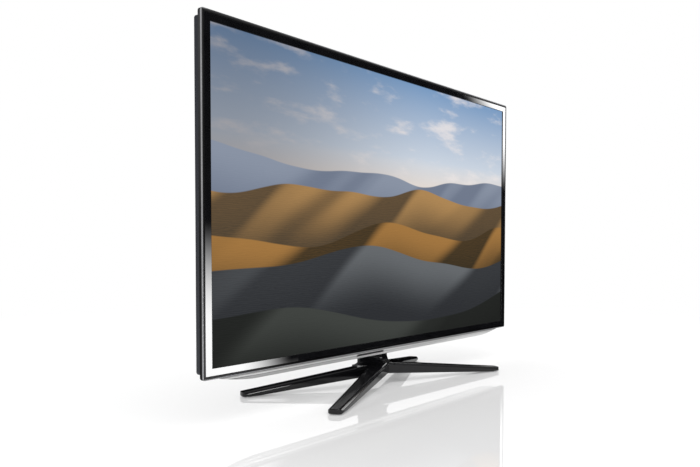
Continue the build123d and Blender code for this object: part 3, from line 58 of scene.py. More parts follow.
# %% [markdown]
# ## Camera
# The camera stands low and to the left of the set, about fifty degrees off straight ahead. Its
# place, turn, lens and shift come from fitting the corners of the frame and the tips of the
# legs to the photograph.

# %% Camera
CAMERA_PLACE = (-1.28079, -0.96044, 0.30422)
CAMERA_YAW = radians(-50.598)
CAMERA_PITCH = radians(87.862)
CAMERA_ROLL = radians(0.0804)
CAMERA_LENS = 36.8615
CAMERA_SHIFT = 0.0570
camera_data = bpy.data.cameras.new("camera")
camera_data.lens = CAMERA_LENS
camera_data.sensor_width = 36.0
camera_data.shift_y = CAMERA_SHIFT
camera = bpy.data.objects.new("camera", camera_data)
turn = (Matrix.Rotation(CAMERA_YAW, 4, "Z") @ Matrix.Rotation(CAMERA_PITCH, 4, "X")
        @ Matrix.Rotation(CAMERA_ROLL, 4, "Z"))
camera.matrix_world = Matrix.Translation(CAMERA_PLACE) @ turn
bpy.context.scene.collection.objects.link(camera)
bpy.context.scene.camera = camera
bpy.context.scene.view_settings.view_transform = "Standard"
print("camera lens", camera_data.lens)

# %% [markdown]
# ## Wiring a material
# Every finish below is a small node tree. Two helpers keep the wiring short: one starts a
# material, the other adds a node, sets its options and connects or sets its inputs.

# %% Node helpers


def start_finish(name):
    """A new material, its tree and its Principled surface."""
    material = bpy.data.materials.new(name)
    material.use_nodes = True
    return material, material.node_tree, material.node_tree.nodes["Principled BSDF"]


def wire(tree, inputs, target):
    """Connect sockets to inputs, or set plain values on them."""
    for key, value in inputs.items():
        if isinstance(value, bpy.types.NodeSocket):
            tree.links.new(value, target.inputs[key])
        else:
            target.inputs[key].default_value = value


def add(tree, kind, inputs=None, **options):
    """A new node with its options and inputs."""
    new = tree.nodes.new(kind)
    for key, value in options.items():
        setattr(new, key, value)
    wire(tree, inputs or {}, new)
    return new


def calc(tree, operation, *values):
    """One step of arithmetic."""
    step = add(tree, "ShaderNodeMath", dict(enumerate(values)), operation=operation)
    return step.outputs[0]


def remap(tree, value, low, high, to_low, to_high, smooth=False):
    """A value carried from one range to another, held at the ends."""
    kind = "SMOOTHSTEP" if smooth else "LINEAR"
    step = add(tree, "ShaderNodeMapRange",
               {"Value": value, "From Min": low, "From Max": high,
                "To Min": to_low, "To Max": to_high},
               interpolation_type=kind)
    return step.outputs["Result"]


def blend_colors(tree, share, first, second):
    """First colour where share is 0, second where it is 1."""
    mix = add(tree, "ShaderNodeMix", data_type="RGBA")
    wire(tree, {0: share, 6: first, 7: second}, mix)
    return mix.outputs[2]


def fade(tree, value, span, smooth=False):
    """A value that climbs from 0 to 1 over a span, which may run either way."""
    return remap(tree, value, *span, 0.0, 1.0, smooth)


def noise(tree, vector, size, detail=2.0, roughness=0.5):
    """Soft random pattern whose blotches are about size metres across."""
    return add(tree, "ShaderNodeTexNoise",
               {"Vector": vector, "Scale": 1.0 / size, "Detail": detail, "Roughness": roughness})


def place_on_piece(tree, stretch=(1.0, 1.0, 1.0)):
    """Object coordinates, multiplied along each axis by stretch."""
    coordinates = add(tree, "ShaderNodeTexCoord")
    mapping = add(tree, "ShaderNodeMapping",
                  {"Vector": coordinates.outputs["Object"], "Scale": stretch})
    return mapping.outputs["Vector"]


def gray(level):
    """A neutral colour."""
    return (level, level, level, 1.0)


BLACKEST = gray(0.0)
WHITE = gray(1.0)
print("helpers ready")

# %% [markdown]
# ## Plain finishes
# Most pieces are moulded plastic or sheet metal. Their surfaces differ in the same few ways:
# the tone drifts a little over a hand's width, a fine grain breaks up the highlights, and
# handling leaves the gloss uneven. One function makes all of these from a few sizes.

# %% Plain finishes


def shaded(color, factor):
    """The colour made lighter or darker."""
    return tuple(min(channel * factor, 1.0) for channel in color[:3]) + (1.0,)


def plain_finish(name, color, rough, metallic=0.0, specular=0.5, grain=0.00001, grain_size=0.0009,
                 tone=0.1, patch=0.05, uneven=0.05, stretch=(1.0, 1.0, 1.0)):
    """A moulded or rolled surface: drifting tone, fine grain and uneven gloss."""
    material, tree, surface = start_finish(name)
    at = place_on_piece(tree, stretch)
    drift = noise(tree, at, patch, detail=4.0).outputs["Fac"]
    tint = blend_colors(tree, remap(tree, drift, 0.3, 0.7, 0.0, 1.0), shaded(color, 1.0 - tone),
                        shaded(color, 1.0 + tone))
    gloss = noise(tree, at, patch * 0.4, detail=5.0, roughness=0.6).outputs["Fac"]
    fine = noise(tree, at, grain_size).outputs["Fac"]
    bump = add(tree, "ShaderNodeBump", {"Height": fine, "Distance": grain})
    wire(tree, {"Base Color": tint, "Metallic": metallic, "Specular IOR Level": specular,
                "Roughness": remap(tree, gloss, 0.25, 0.75, rough - uneven, rough + uneven),
                "Normal": bump.outputs["Normal"]}, surface)
    return material


BLACK = (0.006, 0.006, 0.007)
LACQUER = dict(grain=0.0000006, grain_size=0.004, tone=0.25, uneven=0.02)
LOOKS = {
    "gloss_black": dict(color=BLACK, rough=0.035, specular=0.6, **LACQUER),
    "stand_black": dict(color=BLACK, rough=0.11, **LACQUER),
    "black_plastic": dict(color=(0.022, 0.022, 0.024), rough=0.52, grain=0.00002),
    "cover_plastic": dict(color=(0.021, 0.023, 0.032), rough=0.5, grain=0.00004, grain_size=0.0011,
                          tone=0.06),
    "steel": dict(color=(0.5, 0.51, 0.52), rough=0.34, metallic=0.85, tone=0.12, patch=0.012),
    "screw_steel": dict(color=(0.09, 0.09, 0.1), rough=0.36, metallic=0.7),
    "plain_aluminium": dict(color=(0.62, 0.63, 0.64), rough=0.32, metallic=0.8,
                            stretch=(0.08, 1.0, 1.0)),
    "film": dict(color=(0.8, 0.8, 0.8), rough=0.55, tone=0.02),
    "reflector": dict(color=(0.86, 0.86, 0.86), rough=0.4, tone=0.02),
    "led_body": dict(color=(0.86, 0.82, 0.58), rough=0.35, patch=0.004),
    "component": dict(color=(0.03, 0.03, 0.034), rough=0.42, patch=0.01),
    "socket_metal": dict(color=(0.56, 0.56, 0.57), rough=0.27, metallic=0.8, patch=0.006),
    "socket_plastic": dict(color=(0.028, 0.028, 0.031), rough=0.45),
    "pin_brass": dict(color=(0.7, 0.56, 0.28), rough=0.28, metallic=0.9, patch=0.003),
    "rubber": dict(color=(0.02, 0.02, 0.02), rough=0.8, specular=0.25, grain=0.00005),
    "white_plastic": dict(color=(0.8, 0.8, 0.78), rough=0.3, tone=0.03),
    "wire_sleeve": dict(color=(0.035, 0.035, 0.04), rough=0.6, grain=0.00008, grain_size=0.0012),
}
FINISH = {name: plain_finish(name, **look) for name, look in LOOKS.items()}
print("plain finishes:", len(FINISH))

# %% [markdown]
# ## Silver lacquer
# The lip is plastic under silver lacquer. A metallic surface would mirror the white floor and
# lose the lip's lines, so this one is nearly matt, with hair-fine lines along it and light and
# shade painted into its tone: a painted shadow under the frame, a band that brightens downward
# as a painted reflection of the floor, painted shade in the groove, and a rolled part with a
# painted floor reflection, the last two painted lighter towards the right. The parts are told
# apart by their distance in metres below its top.

# %% Silver lacquer
LIP_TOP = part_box("lower_lip")[1].z
# Spans below the top, in metres: where the painted shadow under the frame ends, where the band's
# painted floor reflection brightens, and where the groove's painted shade and the rolled part's
# painted reflection start.
PAINTED_SHADOW_ENDS = (0.001, 0.0016)
PAINTED_REFLECTION_RISES = (0.0018, 0.0048)
GROOVE_STARTS = (0.005, 0.0054)
ROLL_STARTS = (0.0062, 0.0068)


def silver_with_painted_light():
    """Silver lacquer over fine lines that run along the lip, with light and shade painted into its
    tone by the distance below its top: a painted shadow under the frame, a band that brightens
    downward as a painted floor reflection, painted shade in the groove and a rolled part with a
    painted floor reflection, the last two painted lighter towards the right."""
    material, tree, surface = start_finish("silver")
    at = place_on_piece(tree, (0.02, 1.0, 1.0))
    lines = noise(tree, at, 0.0005, detail=3.0).outputs["Fac"]
    split = add(tree, "ShaderNodeSeparateXYZ", {"Vector": place_on_piece(tree)})
    below = calc(tree, "SUBTRACT", LIP_TOP, split.outputs["Z"])
    # Painted light: the groove and the rolled part grow lighter towards the right.
    lighter = fade(tree, split.outputs["X"], (-0.4, 0.35))
    band = blend_colors(tree, fade(tree, below, PAINTED_REFLECTION_RISES), gray(0.42), gray(0.88))
    groove = blend_colors(tree, lighter, gray(0.17), gray(0.6))
    rolled = blend_colors(tree, lighter, gray(0.42), gray(0.9))
    # Painted shadow under the frame, then the band's painted floor reflection, the groove's painted
    # shade and the rolled part's painted reflection.
    tone = blend_colors(tree, fade(tree, below, PAINTED_SHADOW_ENDS), gray(0.11), band)
    tone = blend_colors(tree, fade(tree, below, GROOVE_STARTS), tone, groove)
    tone = blend_colors(tree, fade(tree, below, ROLL_STARTS), tone, rolled)
    tint = blend_colors(tree, remap(tree, lines, 0.3, 0.7, 0.0, 0.18), tone, gray(0.5))
    bump = add(tree, "ShaderNodeBump", {"Height": lines, "Distance": 0.00001, "Strength": 0.6})
    wire(tree, {"Base Color": tint, "Specular IOR Level": 0.06,
                "Roughness": remap(tree, lines, 0.3, 0.7, 0.3, 0.4),
                "Normal": bump.outputs["Normal"]}, surface)
    return material


FINISH["silver"] = silver_with_painted_light()
print("lip's top at", round(LIP_TOP, 4))

# %% [markdown]
# ## Clear edge
# The clear edge pipes light to its front corner, where it shows as a thin bright line. Real
# clear acrylic would need many bounces of light for that, and would come out different from
# every side. Here the line is painted on a closed surface instead, by each point's distance
# from the outline and from the front.

# %% Clear edge
EDGE_LOW, EDGE_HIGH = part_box("clear_edge")
HALF_X = EDGE_HIGH.x
HALF_Z = (EDGE_HIGH.z - EDGE_LOW.z) / 2
MIDDLE_Z = (EDGE_HIGH.z + EDGE_LOW.z) / 2
FRONT_Y = EDGE_LOW.y


def light_edge():
    """Clear acrylic edge: a painted bright line at its front corner, a dim side with painted light
    that grows towards the top, dark over black.
    """
    material, tree, surface = start_finish("clear_edge")
    split = add(tree, "ShaderNodeSeparateXYZ", {"Vector": place_on_piece(tree)})
    along = split.outputs["X"]
    from_side = calc(tree, "SUBTRACT", HALF_X, calc(tree, "ABSOLUTE", along))
    high = calc(tree, "SUBTRACT", split.outputs["Z"], MIDDLE_Z)
    from_top = calc(tree, "SUBTRACT", HALF_Z, calc(tree, "ABSOLUTE", high))
    inset = calc(tree, "MINIMUM", from_side, from_top)
    deep = calc(tree, "SUBTRACT", split.outputs["Y"], FRONT_Y)
    from_corner = calc(tree, "SQRT", calc(tree, "ADD", calc(tree, "MULTIPLY", inset, inset),
                                          calc(tree, "MULTIPLY", deep, deep)))

    # The side is dim, with painted light that grows towards the top, and dimmer still over the black
    # flange.
    flank = remap(tree, high, -0.1, 0.25, 0.012, 0.05)
    dull = calc(tree, "MULTIPLY", flank, remap(tree, inset, 0.001, 0.0055, 1.0, 0.15))
    haze = noise(tree, place_on_piece(tree), 0.03, detail=3.0).outputs["Fac"]

    # The painted bright line at the corner is brighter at the sides, at the bottom and along the
    # right half.
    shine = remap(tree, from_corner, 0.0011, 0.0024, 1.0, 0.0, smooth=True)
    bright = calc(tree, "MAXIMUM", remap(tree, along, -0.45, 0.0, 0.09, 0.36),
                  remap(tree, from_side, 0.0, 0.02, 0.36, 0.0))
    bright = calc(tree, "MAXIMUM", bright, remap(tree, high, -0.24, -0.27, 0.0, 0.32))
    bright = calc(tree, "MULTIPLY", bright, remap(tree, haze, 0.3, 0.7, 0.9, 1.1))
    level = add(tree, "ShaderNodeMix", {0: shine, 2: dull, 3: bright}).outputs[0]
    bluer = calc(tree, "MULTIPLY", level, 1.03)
    tint = add(tree, "ShaderNodeCombineColor", {0: level, 1: level, 2: bluer})
    wire(tree, {"Base Color": tint.outputs[0], "Roughness": remap(tree, haze, 0.3, 0.7, 0.2, 0.26),
                "Specular IOR Level": 0.02}, surface)
    return material


FINISH["clear_edge"] = light_edge()
print("outer half sizes", round(HALF_X, 4), round(HALF_Z, 4))

# %% [markdown]
# ## Boards, bands and clear sheets
# Circuit boards show copper tracks under a green mask. A wound transformer is wrapped in yellow
# tape, and a flat ribbon has its wires side by side. All of this sits inside the set, so
# Blender's own bricks, cells and waves are close enough. They follow the piece's coordinates.

# %% Boards, bands and clear sheets
WAVE_SPACING_AT_1 = 0.314


def circuit_board(name, mask_color, track_color):
    """A coloured mask with paler tracks and tinned pads."""
    material, tree, surface = start_finish(name)
    at = place_on_piece(tree)
    tracks = add(tree, "ShaderNodeTexBrick",
                 {"Vector": at, "Scale": 60.0, "Mortar Size": 0.03, "Brick Width": 0.9,
                  "Row Height": 0.16, "Color1": BLACKEST, "Color2": gray(0.25), "Mortar": WHITE})
    cells = add(tree, "ShaderNodeTexVoronoi", {"Vector": at, "Scale": 160.0})
    pads = remap(tree, cells.outputs["Distance"], 0.13, 0.17, 1.0, 0.0)
    mask = blend_colors(tree, tracks.outputs["Color"], mask_color, track_color)
    tint = blend_colors(tree, pads, mask, (0.6, 0.6, 0.55, 1.0))
    bump = add(tree, "ShaderNodeBump", {"Height": tracks.outputs["Fac"], "Distance": 0.00003})
    wire(tree, {"Base Color": tint, "Roughness": remap(tree, pads, 0.0, 1.0, 0.33, 0.25),
                "Normal": bump.outputs["Normal"]}, surface)
    return material


def banded(name, dark, light, pitch, rough):
    """Bands side by side at a pitch in metres, as on a ribbon or a taped winding."""
    material, tree, surface = start_finish(name)
    at = place_on_piece(tree)
    wave = add(tree, "ShaderNodeTexWave",
               {"Vector": at, "Scale": WAVE_SPACING_AT_1 / pitch, "Distortion": 0.15},
               bands_direction="Z")
    bump = add(tree, "ShaderNodeBump", {"Height": wave.outputs["Fac"], "Distance": 0.0002})
    tint = blend_colors(tree, wave.outputs["Fac"], dark, light)
    wire(tree, {"Base Color": tint, "Roughness": rough, "Normal": bump.outputs["Normal"]}, surface)
    return material


def clear_sheet(name, color, rough, through):
    """Clear plastic with a faint tint."""
    material, tree, surface = start_finish(name)
    at = place_on_piece(tree)
    haze = noise(tree, at, 0.02, detail=3.0).outputs["Fac"]
    tint = blend_colors(tree, haze, shaded(color, 0.96), shaded(color, 1.04))
    wire(tree, {"Base Color": tint, "Roughness": remap(tree, haze, 0.3, 0.7, rough, rough + 0.04),
                "IOR": 1.49, "Transmission Weight": through}, surface)
    return material


FINISH["board_green"] = circuit_board("board_green", (0.012, 0.085, 0.04, 1.0),
                                      (0.03, 0.17, 0.085, 1.0))
FINISH["board_black"] = circuit_board("board_black", gray(0.008), gray(0.02))
FINISH["ribbon"] = banded("ribbon", (0.5, 0.5, 0.48, 1.0), (0.82, 0.82, 0.8, 1.0),
                          pitch=0.001, rough=0.4)
FINISH["winding_tape"] = banded("winding_tape", (0.5, 0.36, 0.03, 1.0), (0.75, 0.6, 0.1, 1.0),
                                pitch=0.006, rough=0.35)
FINISH["guide"] = clear_sheet("guide", (0.8, 0.86, 0.84), rough=0.05, through=0.8)
FINISH["smoked"] = clear_sheet("smoked", (0.05, 0.045, 0.05), rough=0.06, through=0.1)
print("finishes:", len(FINISH))

# %% [markdown]
# ## The picture on the screen
# A switched-on screen gives its own light, so the picture is an emission. The demonstration
# picture here is a plain landscape of sand dunes under an evening sky, drawn with noise alone.
# Each dune is one layer: everything below a wavy crest line, bright along the crest and
# darker below it. Layers are laid over each other from the far ones to the near ones.

# %% Dunes
# For each dune, far to near: seed, base, swell, width, crest colour, foot colour, shade depth.
DUNES = (
    (3.1, 0.075, 0.05, 0.33, (0.25, 0.29, 0.37, 1.0), (0.15, 0.18, 0.25, 1.0), 0.16),
    (9.4, 0.03, 0.085, 0.42, (0.42, 0.24, 0.09, 1.0), (0.07, 0.05, 0.03, 1.0), 0.16),
    (17.2, -0.045, 0.085, 0.52, (0.36, 0.18, 0.05, 1.0), (0.022, 0.02, 0.012, 1.0), 0.18),
    (24.7, -0.12, 0.07, 0.62, (0.13, 0.14, 0.15, 1.0), (0.024, 0.026, 0.03, 1.0), 0.16),
    (33.3, -0.21, 0.07, 0.7, (0.05, 0.055, 0.05, 1.0), (0.01, 0.011, 0.01, 1.0), 0.16),
)


def wave_at(tree, place, seed):
    """Height of a wavy line at a place along it, between 0 and 1."""
    return add(tree, "ShaderNodeTexNoise",
               {"W": calc(tree, "ADD", place, seed), "Scale": 1.0, "Detail": 1.2, "Roughness": 0.35},
               noise_dimensions="1D").outputs["Fac"]


def dune(tree, x, z, seed, base, swell, width, crest_color, foot_color, depth, ripples):
    """Share and colour of one dune. Its crest swells about base, its shade falls off below, and
    its lee side starts at a line that runs down at a slant."""
    place = calc(tree, "DIVIDE", x, width)
    crest = calc(tree, "MULTIPLY_ADD", wave_at(tree, place, seed), 2.0 * swell, base - swell)
    below = calc(tree, "SUBTRACT", crest, z)
    slanted = calc(tree, "MULTIPLY_ADD", below, 1.6 / width, place)
    share = fade(tree, below, (0.0, 0.002))
    farther = wave_at(tree, slanted, seed + 0.06)
    slope = calc(tree, "SUBTRACT", farther, wave_at(tree, slanted, seed))
    sunny = remap(tree, slope, -0.02, 0.02, 1.0, 0.12, smooth=True)
    fall = remap(tree, below, 0.0, depth, 1.0, 0.0, smooth=True)
    lit = calc(tree, "MULTIPLY", calc(tree, "POWER", fall, 1.5), sunny)
    lit = calc(tree, "ADD", lit, calc(tree, "MULTIPLY", ripples, 0.07))
    return share, blend_colors(tree, lit, foot_color, crest_color)


print("dunes:", len(DUNES))

# %% [markdown]
# The sky behind them goes from a glow at the horizon to blue. Clouds are noise stretched
# sideways, and the left side is darker, as at dusk. A fine wave bends over the dunes as ripples
# in the sand.

# %% Screen picture
GLASS_LOW, GLASS_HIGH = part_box("lcd_cell")
SCREEN_MIDDLE_Z = (GLASS_LOW.z + GLASS_HIGH.z) / 2
HORIZON_GLOW = (0.9, 0.72, 0.55, 1.0)
HAZY_BLUE = (0.62, 0.68, 0.76, 1.0)
HIGH_BLUE = (0.16, 0.3, 0.52, 1.0)
CLOUD_PINK = (0.86, 0.8, 0.78, 1.0)
DUSK = (0.05, 0.06, 0.09, 1.0)


def screen_picture():
    """Dunes under an evening sky, given off as light."""
    material, tree, surface = start_finish("screen")
    at = place_on_piece(tree)
    split = add(tree, "ShaderNodeSeparateXYZ", {"Vector": at})
    x = split.outputs["X"]
    z = calc(tree, "SUBTRACT", split.outputs["Z"], SCREEN_MIDDLE_Z)
    sky_height = fade(tree, z, (0.0, 0.3))
    sky = blend_colors(tree, fade(tree, sky_height, (0.0, 0.4)), HORIZON_GLOW, HAZY_BLUE)
    sky = blend_colors(tree, fade(tree, sky_height, (0.35, 1.0)), sky, HIGH_BLUE)
    cloud_at = place_on_piece(tree, (1.0, 1.0, 3.4))
    cloud = noise(tree, cloud_at, 0.16, detail=7.0, roughness=0.58).outputs["Fac"]
    cover = remap(tree, cloud, 0.5, 0.72, 0.0, 0.75, smooth=True)
    sky = blend_colors(tree, cover, sky, CLOUD_PINK)
    ripple_at = place_on_piece(tree, (1.0, 1.0, 4.0))
    bend = noise(tree, ripple_at, 0.09, detail=3.0).outputs["Fac"]
    lines = add(tree, "ShaderNodeTexWave",
                {"Vector": ripple_at, "Scale": 22.0, "Distortion": calc(tree, "MULTIPLY", bend, 12.0),
                 "Detail": 2.0, "Detail Scale": 2.0}, bands_direction="Z")
    ripples = calc(tree, "SUBTRACT", lines.outputs["Fac"], 0.5)
    dusk = remap(tree, x, -0.5, 0.2, 0.6, 0.0, smooth=True)
    picture = blend_colors(tree, dusk, sky, DUSK)
    for layer in DUNES:
        share, color = dune(tree, x, z, *layer, ripples)
        picture = blend_colors(tree, share, picture, color)
    wire(tree, {"Base Color": gray(0.004), "Roughness": 0.3, "Specular IOR Level": 0.0,
                "Emission Color": picture, "Emission Strength": 1.0}, surface)
    return material


FINISH["screen"] = screen_picture()
print("screen picture ready")

# %% [markdown]
# ## Finishes on the CAD nodes
# The record says which slot each node takes its finish from, so one loop dresses them all.
# The eye's small board can be seen from behind under the frame, so its mask is black. Pieces
# that are rebuilt further down hide their nodes later.

# %% Dress the CAD nodes
SLOT_OF = {part["node"]: part["material_slot"] for part in frame["record"]["subparts"]}
for name, node in frame["nodes"].items():
    node.data.materials.clear()
    node.data.materials.append(FINISH[SLOT_OF[name]])
frame["nodes"]["eye_board"].data.materials[0] = FINISH["board_black"]
print("dressed", len(SLOT_OF), "nodes")

# %% [markdown]
# ## Turning work into plain meshes
# A finished piece is a plain mesh at the origin. The first two helpers bake an object's
# modifiers into its mesh and set its shading. The others start an object from a bmesh, and tie
# a finished piece to the frame.

# %% Mesh helpers
SMOOTH_TO = radians(32)


def bake(piece):
    """Turn an object's modifiers into its mesh."""
    bpy.context.view_layer.update()
    depsgraph = bpy.context.evaluated_depsgraph_get()
    result = bpy.data.meshes.new_from_object(piece.evaluated_get(depsgraph))
    piece.modifiers.clear()
    piece.data = result


def keep_result(piece, smooth_angle=SMOOTH_TO):
    """Bake the modifiers, shade smooth up to an angle, and let large faces look flat."""
    bake(piece)
    piece.data.shade_smooth()
    piece.data.set_sharp_from_angle(angle=smooth_angle)
    flat = piece.modifiers.new("flat_faces", "WEIGHTED_NORMAL")
    flat.keep_sharp = True
    bake(piece)
    return piece


def piece_from(bm, name, material):
    """An object at the origin from a bmesh."""
    mesh = bpy.data.meshes.new(name)
    bm.to_mesh(mesh)
    bm.free()
    mesh.materials.append(material)
    piece = bpy.data.objects.new(name, mesh)
    bpy.context.scene.collection.objects.link(piece)
    return piece


def settle(piece, body, node_name):
    """Tie a finished piece to its body and hide the node it stands for."""
    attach(piece, body)
    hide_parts(node_name)
    print(piece.name, "faces", len(piece.data.polygons))


print("mesh helpers ready")

# %% [markdown]
# ## Copies with rounded edges
# A CAD shape comes as loose triangles with knife-sharp edges. A copy of it is joined, the lines
# across its flat faces are cleared, and a bevel rounds its sharp edges, which is how a moulded
# edge catches the light. Modelling such shapes again by hand would only risk a mismatch.

# %% Copies with rounded edges
JOIN_WITHIN = 0.000002
FLAT_WITHIN = radians(0.5)
SHARP_FROM = radians(25)


def joined_mesh(node_name):
    """A CAD node's mesh as a bmesh, with its loose triangles joined."""
    bm = bmesh.new()
    bm.from_mesh(frame["nodes"][node_name].data)
    bmesh.ops.remove_doubles(bm, verts=bm.verts, dist=JOIN_WITHIN)
    return bm


def softened_copy(node_name, name, width, segments=2, share_of=None, cuts=()):
    """A copy of a CAD node with rounded edges. Where share_of is given, it says what share of
    the width an edge gets, and cuts are places along X where edges are divided for that."""
    bm = joined_mesh(node_name)
    bmesh.ops.dissolve_limit(bm, angle_limit=FLAT_WITHIN, verts=bm.verts, edges=bm.edges)
    for x in cuts:
        everything = bm.verts[:] + bm.edges[:] + bm.faces[:]
        bmesh.ops.bisect_plane(bm, geom=everything, plane_co=(x, 0.0, 0.0), plane_no=(1.0, 0.0, 0.0))
    weight = bm.edges.layers.float.new("bevel_weight_edge")
    for edge in bm.edges:
        if len(edge.link_faces) == 2 and edge.calc_face_angle() > SHARP_FROM:
            edge[weight] = share_of(edge) if share_of else 1.0
    piece = piece_from(bm, name, FINISH[SLOT_OF[node_name]])
    bevel = piece.modifiers.new("round", "BEVEL")
    bevel.width = width
    bevel.segments = segments
    bevel.limit_method = "WEIGHT"
    bevel.use_clamp_overlap = share_of is None
    return keep_result(piece)


print("rounds edges that turn by more than", round(SHARP_FROM, 3), "radians")

# %% [markdown]
# ## Front frame
# The gloss frame is one long moulding with the same section all the way round, so it is made
# by carrying a closed section round a rectangle. Real moulded edges are never knife sharp, so
# the corners of the section that show are turned into short arcs first.

# %% A section carried round the screen
CORNER_ROUND = 5.0 * MM
CORNER_STEPS = 8
SAME_POINT = 0.000001
TOP_SLIMMER = 1.4 * MM
INNER_BAND = 15.0 * MM


def soften(points, radii, steps=3):
    """A closed outline with each corner turned into an arc that starts its radius away."""
    result = []
    count = len(points)
    for i, (point, radius) in enumerate(zip(points, radii)):
        here = Vector(point)
        before = Vector(points[i - 1]) - here
        after = Vector(points[(i + 1) % count]) - here
        if radius == 0:
            result.append(tuple(here))
            continue
        start = here + before.normalized() * radius
        end = here + after.normalized() * radius
        for k in range(steps + 1):
            t = k / steps
            result.append(tuple(start * (1 - t) ** 2 + here * 2 * t * (1 - t) + end * t ** 2))
    return result


def slimmer_inside(inset):
    """The frame is a little slimmer above and below the picture than beside it."""
    return TOP_SLIMMER if inset > INNER_BAND else 0.0


def carried_round(name, section, material):
    """A closed section of (inset, depth) points carried round the set's outline."""
    bm = bmesh.new()
    rows = []
    signs = ((1, 1), (-1, 1), (-1, -1), (1, -1))
    for quarter, (side_x, side_z) in enumerate(signs):
        for i in range(CORNER_STEPS + 1):
            angle = pi / 2 * (quarter + i / CORNER_STEPS)
            row = []
            for inset, depth in section:
                rest = max(CORNER_ROUND - inset, 0.0)
                x = side_x * (HALF_X - inset - rest) + rest * cos(angle)
                z = side_z * (HALF_Z - inset + slimmer_inside(inset) - rest) + rest * sin(angle)
                row.append(bm.verts.new((x, depth, MIDDLE_Z + z)))
            rows.append(row)
    count = len(section)
    for here, there in zip(rows, rows[1:] + rows[:1]):
        for i in range(count):
            k = (i + 1) % count
            bm.faces.new((here[i], there[i], there[k], here[k]))
    bmesh.ops.remove_doubles(bm, verts=bm.verts, dist=SAME_POINT)
    bmesh.ops.recalc_face_normals(bm, faces=bm.faces)
    return piece_from(bm, name, material)


print("steps round a corner:", CORNER_STEPS)

# %% [markdown]
# The gloss frame has a flat face beside the picture, a flange behind the clear edge and a
# skirt inside the rear cover.

# %% Gloss frame
RIM_FREE = 3.0 * MM
RIM_BACKED = 6.0 * MM
BEZEL_IN = 19.9 * MM
FLANGE_Y = FRONT_Y + 2.0 * MM
STEP_Y = FRONT_Y + 3.0 * MM
FLANGE_BACK = FRONT_Y + 8.3 * MM
SKIRT_BACK = FRONT_Y + 17.3 * MM
SKIRT_OUT = 9.0 * MM
SKIRT_IN = 11.0 * MM
FRAME_SMOOTH_TO = radians(50)


bezel_section = soften(
    [(RIM_FREE, FLANGE_Y), (RIM_BACKED, FLANGE_Y), (RIM_BACKED, FRONT_Y), (BEZEL_IN, FRONT_Y),
     (BEZEL_IN, STEP_Y), (SKIRT_IN, STEP_Y), (SKIRT_IN, SKIRT_BACK), (SKIRT_OUT, SKIRT_BACK),
     (SKIRT_OUT, FLANGE_BACK), (RIM_FREE, FLANGE_BACK)],
    [0, 0, 0.4 * MM, 0.7 * MM, 0, 0, 0, 0, 0, 0.3 * MM])
gloss_frame = carried_round("gloss_frame", bezel_section, FINISH["gloss_black"])
keep_result(gloss_frame, FRAME_SMOOTH_TO)
settle(gloss_frame, "screen", "front_bezel")

# %% [markdown]
# The clear edge is an acrylic ring a hair's breadth clear of the frame. Over the black flange it
# looks black and deep, and its free rim shows as a thin line, a painted highlight.

# %% Clear edge ring
HAIR = 0.02 * MM
edge_section = soften(
    [(0.0, FRONT_Y), (RIM_BACKED - HAIR, FRONT_Y), (RIM_BACKED - HAIR, FLANGE_Y - HAIR),
     (RIM_FREE - HAIR, FLANGE_Y - HAIR), (RIM_FREE - HAIR, FLANGE_BACK), (0.0, FLANGE_BACK)],
    [0.9 * MM, 0.3 * MM, 0, 0, 0, 0.5 * MM], steps=4)
edge_ring = carried_round("clear_edge_ring", edge_section, FINISH["clear_edge"])
keep_result(edge_ring, FRAME_SMOOTH_TO)
settle(edge_ring, "screen", "clear_edge")

# %% [markdown]
# ## Silver lip
# Under the frame hangs a slim silver moulding. An upper band stands forward, a groove
# separates it from a lower part that rolls back, and both ends sweep up into the frame.
# The section is written once, from 0 at its top to 1 at its bottom, and is squeezed towards
# the ends, so that all its lines run together there.

# %% Silver lip
LIP_LOW, LIP_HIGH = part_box("lower_lip")
LIP_FULL = LIP_HIGH.z - LIP_LOW.z
LIP_END = 3.2 * MM
LIP_CURVE = 80.0 * MM
LIP_SWEEP = 1.6
LIP_STEPS = 240
LIP_SMOOTH_TO = radians(28)

# Points of the section: share of the height from the top, and depth in millimetres.
LIP_SECTION = ((0.0, 0.0), (0.02, 0.0), (0.37, 0.0), (0.405, 0.35), (0.415, 1.7), (0.44, 2.5),
               (0.46, 2.45), (0.6, 2.42), (0.8, 2.7), (0.92, 3.4), (0.98, 4.4), (1.0, 5.6),
               (1.0, 10.8), (0.0, 10.8))


def lip_height(x):
    """Height of the lip at a place along it."""
    start = LIP_HIGH.x - LIP_CURVE
    share = max(abs(x) - start, 0.0) / LIP_CURVE
    return LIP_FULL - (LIP_FULL - LIP_END) * share ** LIP_SWEEP


bm = bmesh.new()
rows = []
for i in range(LIP_STEPS + 1):
    x = LIP_LOW.x + (LIP_HIGH.x - LIP_LOW.x) * i / LIP_STEPS
    high = lip_height(x)
    rows.append([bm.verts.new((x, LIP_LOW.y + back * MM, LIP_HIGH.z - share * high))
                 for share, back in LIP_SECTION])
for here, there in zip(rows, rows[1:]):
    for i in range(len(LIP_SECTION)):
        k = (i + 1) % len(LIP_SECTION)
        bm.faces.new((here[i], here[k], there[k], there[i]))
bm.faces.new(rows[0])
bm.faces.new(list(reversed(rows[-1])))
bmesh.ops.recalc_face_normals(bm, faces=bm.faces)
silver_lip = piece_from(bm, "silver_lip", FINISH["silver"])
keep_result(silver_lip, LIP_SMOOTH_TO)
settle(silver_lip, "screen", "lower_lip")

# %% [markdown]
# ## Stand, covers and feet
# The casting, the cover round the neck, the rear cover and a few smaller parts keep their CAD
# shapes. Only their edges are rounded. Along the legs the rounding is widest where the flat
# top meets the slope, which draws the long bright line on each leg, and it narrows towards the
# neck, where the four legs' edges meet close together. The edges are divided there so that the
# width can change along them. At the tips the result is held inside the CAD box.

